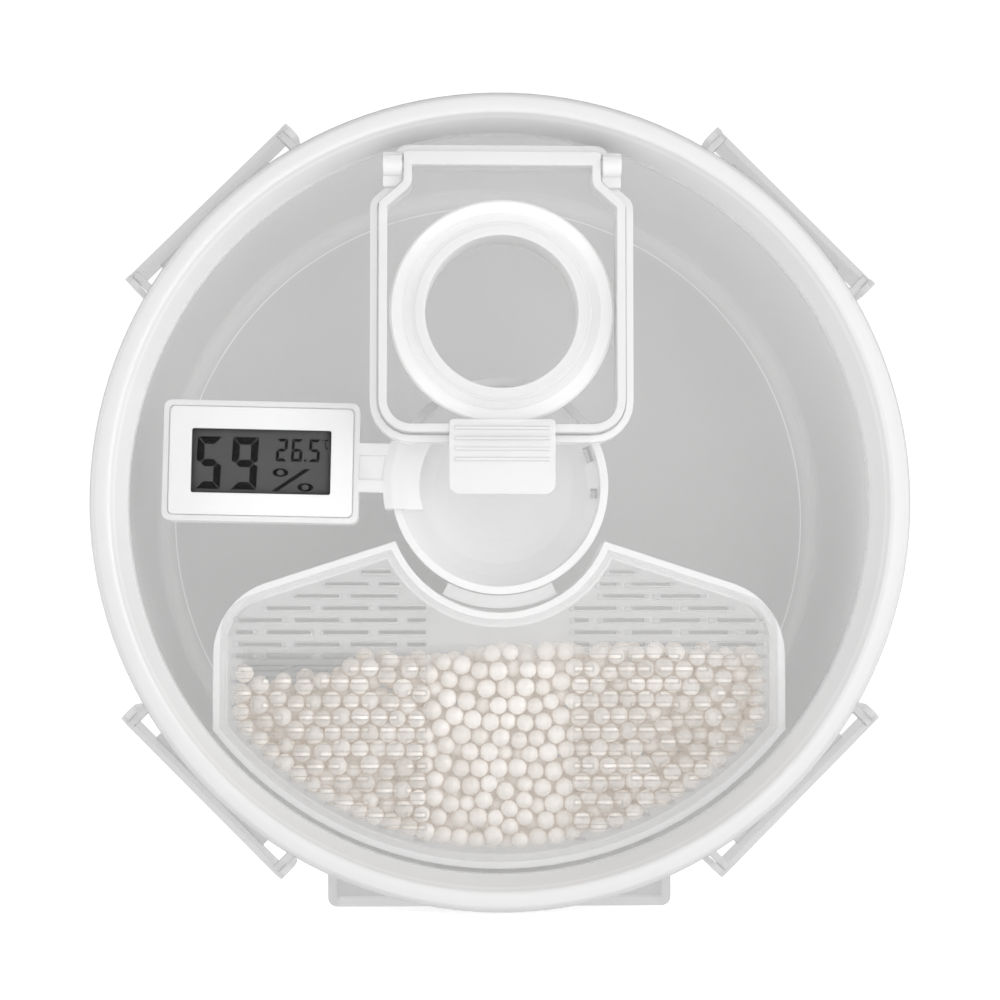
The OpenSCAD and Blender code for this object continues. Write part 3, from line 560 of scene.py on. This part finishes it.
def bead_material(name):
    """Off-white desiccant beads, each with its own tone, with a glassy skin and a painted warm
    glow that lightens the shade between them.
    """
    m, t, out = new_material(name)
    shade = add(t, "ShaderNodeAttribute", attribute_name="shade").outputs["Fac"]
    place = add(t, "ShaderNodeTexCoord").outputs["Object"]
    mottle = add(t, "ShaderNodeTexNoise", {"Vector": place, "Scale": 700.0, "Detail": 2.0})
    both = math_node(
        t, "ADD", shade, ramp(t, mottle.outputs[0], 0.3, 0.7, -0.15, 0.15), clamp=True
    )
    bump = add(
        t, "ShaderNodeBump", {"Strength": 0.2, "Distance": 0.0002, "Height": mottle.outputs[0]}
    )
    p = add(
        t, "ShaderNodeBsdfPrincipled",
        {
            "Base Color": tint(t, both, (0.5, 0.48, 0.45), (0.62, 0.605, 0.585)),
            "Roughness": 0.4, "Normal": bump.outputs[0],
            # painted light: a warm emission that lightens the shade in the gaps between the beads
            "Emission Color": (1.0, 0.89, 0.79, 1.0), "Emission Strength": 0.2,
        },
    )
    t.links.new(p.outputs[0], out.inputs["Surface"])
    return m


# ---------------------------------------------------------------- mesh helpers


def mesh_object(name, verts, faces, material, body, smooth=True):
    """A piece from arrays of points and faces, with its material and body."""
    mesh = bpy.data.meshes.new(name)
    verts, faces = np.asarray(verts, np.float32), np.asarray(faces, np.int32)
    side = faces.shape[1]
    mesh.vertices.add(len(verts))
    mesh.vertices.foreach_set("co", verts.ravel())
    mesh.loops.add(faces.size)
    mesh.loops.foreach_set("vertex_index", faces.ravel())
    mesh.polygons.add(len(faces))
    mesh.polygons.foreach_set("loop_start", np.arange(0, faces.size, side, dtype=np.int32))
    mesh.polygons.foreach_set("loop_total", np.full(len(faces), side, np.int32))
    mesh.update(calc_edges=True)
    if mesh.validate():
        raise RuntimeError(f"{name}: the mesh had faces that are not valid")
    if smooth:
        mesh.shade_smooth()
    mesh.materials.append(material)
    obj = bpy.data.objects.new(name, mesh)
    bpy.context.scene.collection.objects.link(obj)
    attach(obj, body)
    return obj


def paint(material, *names):
    """Puts a material on every slot of the named CAD nodes."""
    for name in names:
        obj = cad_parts[name]
        for s in obj.material_slots:
            s.material = material


def holder_point(x, y):
    """Row-frame X and Z of a point on the hygrometer's face: the face is turned about the hub."""
    a = math.radians(HOLDER_TILT)
    px, py = x - HOLDER_REACH, y + HOLDER_RISE
    return (
        px * math.cos(a) - py * math.sin(a),
        HUB_Z + px * math.sin(a) + py * math.cos(a),
    )


def flat_piece(name, shapes, material, depth, thickness=0.00004):
    """Thin closed prisms on the hygrometer's face. Each shape is an anticlockwise polygon in
    the face's own millimetres, all with the same number of corners."""
    pts = np.asarray(shapes, float) / 1000
    n, k = pts.shape[:2]
    x, z = holder_point(pts[..., 0], pts[..., 1])
    y = np.full_like(x, FRONT_Y + depth)
    front = np.stack([x, y - thickness, z], -1)
    back = np.stack([x, y, z], -1)
    verts = np.concatenate([front, back], 1).reshape(-1, 3)
    first = np.arange(n)[:, None] * 2 * k
    ring = np.arange(k)
    nxt = (ring + 1) % k
    quad = np.stack([ring, ring + k, nxt + k, nxt], -1)
    sides = (first[:, :, None] + quad[None]).reshape(-1, 4)
    # the front is a fan of quads between matching corners of its two halves
    half = np.arange((k - 2) // 2)
    fan = np.stack([half, half + 1, k - 2 - half, k - 1 - half], -1)
    cap = (first[:, :, None] + fan[None]).reshape(-1, 4)
    faces = np.concatenate([sides, cap])
    return mesh_object(name, verts, faces, material, "box", smooth=False)


# ---------------------------------------------------------------- display

SEGMENTS = {
    0: "abcdef", 1: "bc", 2: "abged", 3: "abgcd", 4: "fgbc",
    5: "afgcd", 6: "afgedc", 7: "abc", 8: "abcdefg", 9: "abcdfg",
}


def digit_shapes(value, x, y, w, h, t, gap, lean):
    """Six-cornered bars of a seven-segment digit. x and y are the lower left corner, w and h
    the size, t a bar's thickness, gap the space between bars and lean the slant."""
    m, g = h / 2, gap / 2
    bars = {
        "a": [(g, h), (g + t, h - t), (w / 2, h - t), (w - t - g, h - t), (w - g, h), (w / 2, h)],
        "d": [(g, 0), (w / 2, 0), (w - g, 0), (w - t - g, t), (w / 2, t), (g + t, t)],
        "g": [
            (g + t / 2, m), (g + t, m - t / 2), (w - g - t, m - t / 2),
            (w - g - t / 2, m), (w - g - t, m + t / 2), (g + t, m + t / 2),
        ],
        "f": [
            (0, m + g + t / 4), (t / 2, m + g), (t, m + t / 2 + g),
            (t, h - t - g), (t / 4, h - g - t / 4), (0, h - g),
        ],
        "b": [
            (w, h - g), (w - t / 4, h - g - t / 4), (w - t, h - t - g),
            (w - t, m + t / 2 + g), (w - t / 2, m + g), (w, m + g + t / 4),
        ],
        "e": [
            (0, g), (t / 4, g + t / 4), (t, t + g),
            (t, m - t / 2 - g), (t / 2, m - g), (0, m - g - t / 4),
        ],
        "c": [
            (w, m - g - t / 4), (w - t / 2, m - g), (w - t, m - t / 2 - g),
            (w - t, t + g), (w - t / 4, g + t / 4), (w, g),
        ],
    }
    return [[(x + px + lean * py, y + py) for px, py in bars[k]] for k in SEGMENTS[value]]


def box_shape(x0, y0, x1, y1):
    """A rectangle as six corners."""
    xm = (x0 + x1) / 2
    return [(x0, y0), (xm, y0), (x1, y0), (x1, y1), (xm, y1), (x0, y1)]


def ring_shapes(x, y, rx, ry, hx, hy, n=28):
    """An oval ring as quads, each with six corners: rx and ry outside, hx and hy inside."""
    a = np.linspace(0, 2 * np.pi, n + 1)
    out = np.stack([x + rx * np.cos(a), y + ry * np.sin(a)], -1)
    ins = np.stack([x + hx * np.cos(a), y + hy * np.sin(a)], -1)
    mid_out, mid_in = (out[1:] + out[:-1]) / 2, (ins[1:] + ins[:-1]) / 2
    return np.stack([ins[:-1], out[:-1], mid_out, out[1:], ins[1:], mid_in], 1).tolist()


def make_readings(s, ink):
    """The display's dark segments: humidity, temperature and their units."""
    tens, ones = divmod(s.humidity, 10)
    whole, tenth = divmod(round(s.temperature * 10), 10)
    shapes = digit_shapes(tens, -17.75, -7.55, 6.7, 14.15, 2.0, 0.32, 0.036)
    shapes += digit_shapes(ones, -8.3, -7.55, 7.0, 14.15, 2.0, 0.32, 0.036)
    flat_piece("humidity_digits", shapes, ink, DISPLAY_DEPTH)
    small = dict(w=3.0, h=6.15, t=0.82, gap=0.2, lean=0.05)
    shapes = digit_shapes(whole // 10, 3.75, 0.28, **small)
    shapes += digit_shapes(whole % 10, 7.8, 0.28, **small)
    shapes += digit_shapes(tenth, 12.5, 0.28, **small)
    shapes += [box_shape(11.45, 0.3, 12.05, 0.95)]
    flat_piece("temperature_digits", shapes, ink, DISPLAY_DEPTH)
    # the percent sign's slash and its two rings
    shapes = [
        [(2.85, -7.75), (3.7, -7.75), (4.5, -7.75), (13.3, -1.65), (12.4, -1.65), (11.6, -1.65)]
    ]
    shapes += ring_shapes(5.13, -2.76, 2.15, 1.15, 0.95, 0.72)
    shapes += ring_shapes(11.9, -6.6, 2.15, 1.15, 0.95, 0.72)
    # degree sign and the C after it
    shapes += [
        box_shape(16.25, 6.05, 16.65, 6.4), box_shape(17.0, 6.0, 17.75, 6.35),
        box_shape(16.85, 5.25, 17.15, 5.9), box_shape(16.85, 4.3, 17.15, 4.95),
        box_shape(17.0, 3.85, 17.75, 4.2),
    ]
    flat_piece("unit_marks", shapes, ink, DISPLAY_DEPTH)


# ---------------------------------------------------------------- desiccant box


def slot_corners():
    """Corners of the slots on the box's right half, in metres about the axis: rows like
    brickwork, cut along the shoulder, the side, the floor arc and the saddle."""
    top = SLOTS_TOP - SLOT_MARGIN
    step = SLOT_LEN + SLOT_GAP
    row = np.arange(int((TRAY_R + top) / SLOT_PITCH) + 1)
    col = np.arange(6)
    row, col = np.meshgrid(row, col, indexing="ij")
    y = top - row * SLOT_PITCH
    x = PLAIN_HALF_W - (row % 2) * step / 2 + col * step
    saddle = np.maximum((SADDLE_R + SLOT_MARGIN) ** 2 - (y - SADDLE_Y) ** 2, PLAIN_HALF_W**2)
    floor = np.sqrt(np.maximum((TRAY_R - SLOT_MARGIN) ** 2 - y**2, 0))
    shoulder = SHOULDER_C - SLOT_MARGIN - math.cos(SHOULDER_SLOPE) * y
    end = np.minimum(floor, shoulder / math.sin(SHOULDER_SLOPE))
    end = np.minimum(np.minimum(end, TRAY_HALF_W - SLOT_MARGIN), x + SLOT_LEN)
    start = np.maximum(x, np.sqrt(saddle))
    keep = end - start > MIN_SLOT_LEN
    start, end, y = start[keep], end[keep], y[keep]
    low, high = y - SLOT_H / 2, y + SLOT_H / 2
    corners = [(start, low), (end, low), (end, high), (start, high)]
    return np.stack([np.stack(c, -1) for c in corners], 1)


def make_slot_edges(material):
    """A low raised edge round every slot of the cover and of the tray's back plate. Each is a
    closed strip: four loops of four corners, offset outwards and raised from the plate."""
    corners = slot_corners()
    sign = np.array([[-1, -1], [1, -1], [1, 1], [-1, 1]])
    loops = []
    for out, rise in ((0.0, 0.0), (0.00003, 0.00012), (0.00022, 0.00012), (0.00028, 0.0)):
        flat = corners + sign * out
        loops.append(np.stack([flat[..., 0], np.full(flat.shape[:2], -rise), flat[..., 1]], -1))
    half = np.stack(loops, 1)
    mirror = half[:, :, [1, 0, 3, 2]] * [-1, 1, 1]
    ring = np.concatenate([half, mirror]).reshape(-1, 16, 3)
    front = ring + [0, FRONT_Y + TRAY_FRONT, AXIS_Z]
    back = ring + [0, FRONT_Y + TRAY_INSIDE_BACK, AXIS_Z]
    verts = np.concatenate([front, back])
    i, j = np.meshgrid(np.arange(3), np.arange(4), indexing="ij")
    nxt = (j + 1) % 4
    faces = np.stack([i * 4 + j, i * 4 + nxt, (i + 1) * 4 + nxt, (i + 1) * 4 + j], -1)
    faces = faces.reshape(-1, 4)
    many = (faces[None] + (np.arange(len(verts)) * 16)[:, None, None]).reshape(-1, 4)
    return mesh_object(
        "slot_edges", verts.reshape(-1, 3), many, material, "box", smooth=False
    )


def inside_tray(p, inset):
    """True for points, x and height about the axis, inside the tray's floor arc and sides."""
    r = np.hypot(p[:, 0], p[:, 1])
    return (r < TRAY_R - inset) & (np.abs(p[:, 0]) < TRAY_HALF_W - inset) & (p[:, 1] < 0)


def heap_top(x):
    """Height of the beads' top surface at x: a shallow heap, higher right of the middle."""
    k = np.array([-0.075, -0.062, -0.045, -0.033, -0.018, 0.0, 0.03, 0.052, 0.075])
    h = np.array([-0.047, -0.048, -0.0445, -0.041, -0.040, -0.039, -0.0365, -0.0385, -0.042])
    return np.interp(x, k, h)


def bead_places(s):
    """Centres and sizes of the beads: close-packed layers with a seeded jitter, pushed apart
    until none overlaps by much, and held inside the tray."""
    rng = np.random.default_rng(s.bead_seed)
    d = s.bead_size
    nx, nz, layers = int(2 * TRAY_HALF_W / d) + 2, int(TRAY_R / d * 1.2) + 2, 3
    i, j, k = np.meshgrid(np.arange(nx), np.arange(nz), np.arange(layers), indexing="ij")
    x = (i - nx / 2 + 0.5 * (j % 2) + 0.3 * k) * d
    z = -TRAY_R + (j + 0.2 * k) * d * 0.87
    y = BEAD_FRONT + d / 2 + k * (BEAD_BACK - BEAD_FRONT - d) / (layers - 1)
    p = np.stack([x.ravel(), y.ravel(), z.ravel()], -1)
    p += rng.normal(0, d * BEAD_JITTER, p.shape)
    r = d / 2 * (1 + s.bead_spread * rng.uniform(-1, 1, len(p)))
    keep = inside_tray(p[:, [0, 2]], BEAD_INSET) & (p[:, 2] < heap_top(p[:, 0]) - d / 2)
    p, r = p[keep], r[keep]
    for _ in range(BEAD_ROUNDS):
        delta = p[:, None] - p[None]
        dist = np.linalg.norm(delta, axis=-1) + np.eye(len(p))
        over = np.clip((r[:, None] + r[None]) - dist, 0, None)
        np.fill_diagonal(over, 0)
        p += BEAD_PUSH * (delta / dist[..., None] * over[..., None]).sum(1)
        p[:, 1] = np.clip(p[:, 1], BEAD_FRONT + r, BEAD_BACK - r)
        away = np.hypot(p[:, 0], p[:, 2])
        limit = TRAY_R - BEAD_INSET - r
        p[:, [0, 2]] *= np.minimum(1, limit / away)[:, None]
        side = TRAY_HALF_W - BEAD_INSET - r
        p[:, 0] = np.clip(p[:, 0], -side, side)
        p[:, 2] = np.minimum(p[:, 2], BEAD_LEVEL - r)
    return p, r


def ball(n_round=10, n_up=6):
    """Unit ball, p(u, v) = (cos u cos v, cos u sin v, sin u), for latitudes u and longitudes
    v, with a point at each pole."""
    up = np.linspace(-np.pi / 2 + 0.16, np.pi / 2 - 0.16, n_up)
    a = np.arange(n_round) * 2 * np.pi / n_round
    u, v = np.meshgrid(up, a, indexing="ij")
    verts = np.stack([np.cos(u) * np.cos(v), np.cos(u) * np.sin(v), np.sin(u)], -1).reshape(-1, 3)
    i, j = np.meshgrid(np.arange(n_up - 1), np.arange(n_round), indexing="ij")
    nxt = (j + 1) % n_round
    faces = np.stack(
        [i * n_round + j, i * n_round + nxt, (i + 1) * n_round + nxt, (i + 1) * n_round + j], -1
    ).reshape(-1, 4)
    verts = np.concatenate([verts, [[0, 0, -1], [0, 0, 1]]])
    low, high = len(verts) - 2, len(verts) - 1
    even = np.arange(0, n_round, 2)
    bottom = np.stack(
        [np.full(len(even), low), (even + 2) % n_round, (even + 1) % n_round, even], -1
    )
    first = (n_up - 1) * n_round
    top = np.stack(
        [np.full(len(even), high), first + even, first + (even + 1) % n_round,
         first + (even + 2) % n_round], -1
    )
    return verts, np.concatenate([faces, bottom, top])


def make_beads(s):
    """The heap of desiccant beads, each turned and shaded by itself."""
    centres, radii = bead_places(s)
    verts, faces = ball()
    rng = np.random.default_rng(s.bead_seed + 1)
    q = rng.normal(size=(len(centres), 4))
    q /= np.linalg.norm(q, axis=1)[:, None]
    w, x, y, z = q.T
    turn = np.stack(
        [
            1 - 2 * (y * y + z * z), 2 * (x * y - z * w), 2 * (x * z + y * w),
            2 * (x * y + z * w), 1 - 2 * (x * x + z * z), 2 * (y * z - x * w),
            2 * (x * z - y * w), 2 * (y * z + x * w), 1 - 2 * (x * x + y * y),
        ], -1
    ).reshape(-1, 3, 3)
    stretch = 1 + 0.04 * rng.uniform(-1, 1, (len(centres), 1, 3))
    pts = np.einsum("nij,nvj->nvi", turn, verts[None] * stretch) * radii[:, None, None]
    pts += (centres + [0, FRONT_Y, AXIS_Z])[:, None]
    many = (faces[None] + (np.arange(len(centres)) * len(verts))[:, None, None]).reshape(-1, 4)
    obj = mesh_object(
        "desiccant_bead_heap", pts.reshape(-1, 3), many,
        bead_material("Desiccant beads"), "box",
    )
    shade = obj.data.attributes.new("shade", "FLOAT", "POINT")
    shade.data.foreach_set(
        "value", np.repeat(rng.uniform(0, 1, len(centres)), len(verts)).astype(np.float32)
    )
    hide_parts("desiccant_beads")


# ---------------------------------------------------------------- stage


def soft_light(name, place, target, size, power):
    """A rectangular softbox that points from its place at the target."""
    data = bpy.data.lights.new(name, "AREA")
    data.shape = "RECTANGLE"
    data.size, data.size_y = size
    data.energy = power
    obj = bpy.data.objects.new(name, data)
    obj.location = place
    aim = Vector(target) - Vector(place)
    obj.rotation_euler = aim.to_track_quat("-Z", "Y").to_euler()
    bpy.context.scene.collection.objects.link(obj)


def studio_world():
    """Even white surroundings, as in a light tent."""
    world = bpy.data.worlds.new("Light tent")
    world.use_nodes = True
    t = world.node_tree
    t.nodes.clear()
    out = add(t, "ShaderNodeOutputWorld")
    tent = add(t, "ShaderNodeBackground", {"Color": (1, 1, 1, 1), "Strength": 0.58})
    seen = add(t, "ShaderNodeBackground", {"Color": (1, 1, 1, 1), "Strength": 1.05})
    path = add(t, "ShaderNodeLightPath")
    mix = add(
        t, "ShaderNodeMixShader",
        {0: path.outputs["Is Camera Ray"], 1: tent.outputs[0], 2: seen.outputs[0]},
    )
    t.links.new(mix.outputs[0], out.inputs["Surface"])
    bpy.context.scene.world = world


def studio_floor():
    """A round pale floor, p(r, a) = (r cos a, r sin a, 0), whose own faint emission meets the
    tent's white without a horizon."""
    n, radii = 96, np.array([0.0, 0.3, 0.8, 2.0, 5.0])
    a = np.arange(n) * 2 * np.pi / n
    ring = np.stack([np.cos(a), np.sin(a), np.zeros(n)], -1)
    verts = (ring[None] * np.maximum(radii, 0.01)[:, None, None]).reshape(-1, 3)
    i, j = np.meshgrid(np.arange(len(radii) - 1), np.arange(n), indexing="ij")
    nxt = (j + 1) % n
    faces = np.stack([i * n + j, (i + 1) * n + j, (i + 1) * n + nxt, i * n + nxt], -1)
    mesh = bpy.data.meshes.new("studio_floor")
    mesh.from_pydata(verts.tolist(), [], [*faces.reshape(-1, 4).tolist(), list(range(n))])
    obj = bpy.data.objects.new("studio_floor", mesh)
    bpy.context.scene.collection.objects.link(obj)
    m, t, out = new_material("Studio floor")
    place = add(t, "ShaderNodeTexCoord").outputs["Object"]
    paper = add(t, "ShaderNodeTexNoise", {"Vector": place, "Scale": 300.0, "Detail": 2.0})
    white = tint(t, paper.outputs[0], grey(0.86), grey(0.9))
    p = add(
        t, "ShaderNodeBsdfPrincipled",
        {
            "Base Color": white, "Roughness": 0.9, "Emission Color": (1, 1, 1, 1),
            "Emission Strength": 0.55,
        },
    )
    t.links.new(p.outputs[0], out.inputs["Surface"])
    mesh.materials.append(m)


def make_stage(s):
    """Floor, surroundings, softboxes and the camera in front of the lid."""
    scene = bpy.context.scene
    scene.view_settings.view_transform = "Standard"
    studio_world()
    studio_floor()
    middle = (0, 0, AXIS_Z)
    soft_light("Softbox left", (-0.95, -0.35, 0.35), middle, (0.7, 1.1), 8.0)
    soft_light("Softbox right", (0.95, -0.45, 0.2), middle, (0.7, 1.1), 11.5)
    soft_light("Softbox front", (0.5, -1.1, 0.3), middle, (0.6, 0.6), 2.5)
    data = bpy.data.cameras.new("Camera")
    data.lens, data.sensor_width = s.camera_lens, 36
    data.clip_start, data.clip_end = 0.01, 20
    cam = bpy.data.objects.new("Camera", data)
    cam.location = s.camera_from
    aim = Vector((-0.0007, FRONT_Y, AXIS_Z - 0.0005)) - cam.location
    cam.rotation_euler = aim.to_track_quat("-Z", "Y").to_euler()
    scene.collection.objects.link(cam)
    scene.camera = cam


# ---------------------------------------------------------------- operators


class DRYERBOX_OT_shells(bpy.types.Operator):
    """Gives the container, the foot, the lid, its latches and its cap their frosted plastic"""

    bl_idname = "dryerbox.shells"
    bl_label = "Frosted shells"

    def execute(self, context):
        s = context.scene.dryer_box
        white, pale = grey(0.6), grey(0.64)
        dull, less_dull = grey(0.53), grey(0.57)
        dark, less_dark = grey(0.14), grey(0.17)
        # Painted light and shade: grey tones by the distance outside RIM_BANDS_R, the first two
        # for the ends.
        #         # The lid's go from the recess wall to the rim's outer edge, painting light
        #         lines and a darker
        #         # outer edge on its rounded profile. The container's paint a bright reflection
        #         line near the
        #         # floor's corner and grow lighter outwards.
        painted_rim_shading = (
            (0.0, 0.62), (0.013, 0.4), (0.0017, 0.6), (0.0019, 0.68), (0.0022, 0.56),
            (0.0035, 0.56), (0.0039, 0.59), (0.0064, 0.59), (0.0067, 0.66), (0.007, 0.61),
            (0.011, 0.56), (0.0117, 0.46),
        )
        # the container's painted light and shade, with a painted bright reflection line
        wall = (
            (0.0, 0.55), (0.013, 0.85), (0.0013, 0.57), (0.0015, 0.95), (0.0018, 0.56),
            (0.004, 0.66),
        )
        rim_bands = (RIM_BANDS_R, RIM_BANDS_W)
        hole = (PORT_HEIGHT, PORT_R, 0.008)
        # The glow values below are painted light: emission that lifts the plastic's shade
        shell = frosted(
            "Frosted shell", s, 0.62, 0.8, dull, less_dull, 0.42, (NO_RADIUS, NO_DEPTH),
            (*rim_bands, wall, 0.0), outline=RIM_ARC_R, painted_glow=0.1, outside=0.36,
        )
        paint(shell, "container")
        foot = frosted("Frosted foot", s, 0.8, 0.8, dark, less_dark, 0.42, outline=0.0, painted_glow=0.42)
        paint(foot, "foot")
        lid = frosted(
            "Frosted lid", s, 0.006, 0.78, white, pale, 0.34, (PANEL_R, PANEL_FRONT),
            (*rim_bands, painted_rim_shading, 0.0), outline=RIM_ARC_R, painted_glow=0.1,
        )
        paint(lid, "lid")
        latch = frosted(
            "Frosted latch", s, 0.66, 0.66, dark, less_dark, 0.34, outline=0.0, painted_glow=0.4
        )
        paint(latch, *LATCHES)
        cap = frosted(
            "Frosted cap", s, 0.045, 0.7, white, pale, 0.34, zone=(NO_RADIUS, CAP_PLATE_FRONT),
            clear=hole, painted_glow=0.06,
        )
        paint(cap, "flip_cap")
        rubber = frosted("Clear rubber", s, 0.15, 0.15, grey(0.8), grey(0.84), 0.6)
        paint(rubber, "lid_seal", "cap_gasket")
        # painted light: grey tones across the collar's flange, darker at its inner edge and
        # lighter outwards, lifting the shade under the cap's walls
        painted_flange_light = ((0.0, 0.5), (0.007, 0.66), (0.0008, 0.6), (0.004, 0.66))
        collar = frosted(
            "White collar", s, 0.97, 0.97, grey(0.52), grey(0.55), 0.5,
            rim=(COLLAR_FLANGE_R, 0.007, painted_flange_light, PORT_HEIGHT), painted_glow=0.1,
        )
        paint(collar, "port_collar")
        return {"FINISHED"}


class DRYERBOX_OT_fittings(bpy.types.Operator):
    """Gives the hub, the sensor holder and the desiccant box their frosted plastic"""

    bl_idname = "dryerbox.fittings"
    bl_label = "Inner fittings"

    def execute(self, context):
        s = context.scene.dryer_box
        white, pale = grey(0.7), grey(0.74)
        # The glow values below are painted light: emission that lifts the plastic's shade
        hub = frosted("Frosted hub", s, 0.75, 0.75, white, pale, painted_glow=0.08)
        paint(hub, "hub_post", "hub_cup")
        paint(frosted("Frosted holder", s, 0.55, 0.55, white, pale, painted_glow=0.16), "sensor_holder")
        paint(tray_plastic("Frosted tray", s, white, pale, 0.34), "desiccant_tray")
        paint(tray_plastic("Frosted cover", s, white, pale, 0.14), "desiccant_cover")
        make_slot_edges(slot_edge_plastic("Slot edges", white, pale))
        return {"FINISHED"}


class DRYERBOX_OT_hygrometer(bpy.types.Operator):
    """Finishes the hygrometer's case, display, board and cells, and adds its readings"""

    bl_idname = "dryerbox.hygrometer"
    bl_label = "Hygrometer"

    def execute(self, context):
        s = context.scene.dryer_box
        case = solid_plastic("White case", s, grey(0.68), grey(0.72), 0.36)
        paint(case, "hygro_front_case", "hygro_sensor", "hygro_back_case", "hygro_cell_door")
        paint(window_material("Display window"), "hygro_window")
        paint(display_material("Display panel"), "hygro_display")
        paint(board_material("Circuit board"), "hygro_board")
        paint(metal("Cell steel", (0.55, 0.55, 0.56), (0.72, 0.72, 0.73), 0.3), "hygro_cells")
        brass = metal("Contact brass", (0.62, 0.45, 0.16), (0.82, 0.64, 0.3), 0.35)
        paint(brass, "hygro_contacts")
        ink = solid_plastic("Display segments", s, grey(0.0006), grey(0.0012), 0.5, gloss=0.0)
        make_readings(s, ink)
        return {"FINISHED"}


class DRYERBOX_OT_beads(bpy.types.Operator):
    """Fills the desiccant box with loose beads"""

    bl_idname = "dryerbox.beads"
    bl_label = "Desiccant beads"

    def execute(self, context):
        make_beads(context.scene.dryer_box)
        return {"FINISHED"}


class DRYERBOX_OT_stage(bpy.types.Operator):
    """Makes the pale floor, the soft studio light and the camera"""

    bl_idname = "dryerbox.stage"
    bl_label = "Stage"

    def execute(self, context):
        make_stage(context.scene.dryer_box)
        return {"FINISHED"}


STEPS = ("shells", "fittings", "hygrometer", "beads", "stage")


class DRYERBOX_PT_panel(bpy.types.Panel):
    """The dryer box's settings and one button for each step"""

    bl_label = "Dryer box"
    bl_idname = "DRYERBOX_PT_panel"
    bl_space_type = "VIEW_3D"
    bl_region_type = "UI"
    bl_category = "Dryer box"

    def draw(self, context):
        s = context.scene.dryer_box
        for name in DryerBoxSettings.__annotations__:
            self.layout.prop(s, name)
        for step in STEPS:
            self.layout.operator(f"dryerbox.{step}")


CLASSES = (
    DryerBoxSettings, DRYERBOX_OT_shells, DRYERBOX_OT_fittings, DRYERBOX_OT_hygrometer,
    DRYERBOX_OT_beads, DRYERBOX_OT_stage, DRYERBOX_PT_panel,
)


def register():
    for c in CLASSES:
        bpy.utils.register_class(c)
    bpy.types.Scene.dryer_box = PointerProperty(type=DryerBoxSettings)


def unregister():
    del bpy.types.Scene.dryer_box
    for c in reversed(CLASSES):
        bpy.utils.unregister_class(c)


def main():
    """Makes every piece and the stage."""
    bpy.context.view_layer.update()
    register()
    for step in STEPS:
        getattr(bpy.ops.dryerbox, step)()


if __name__ == "__main__":
    main()
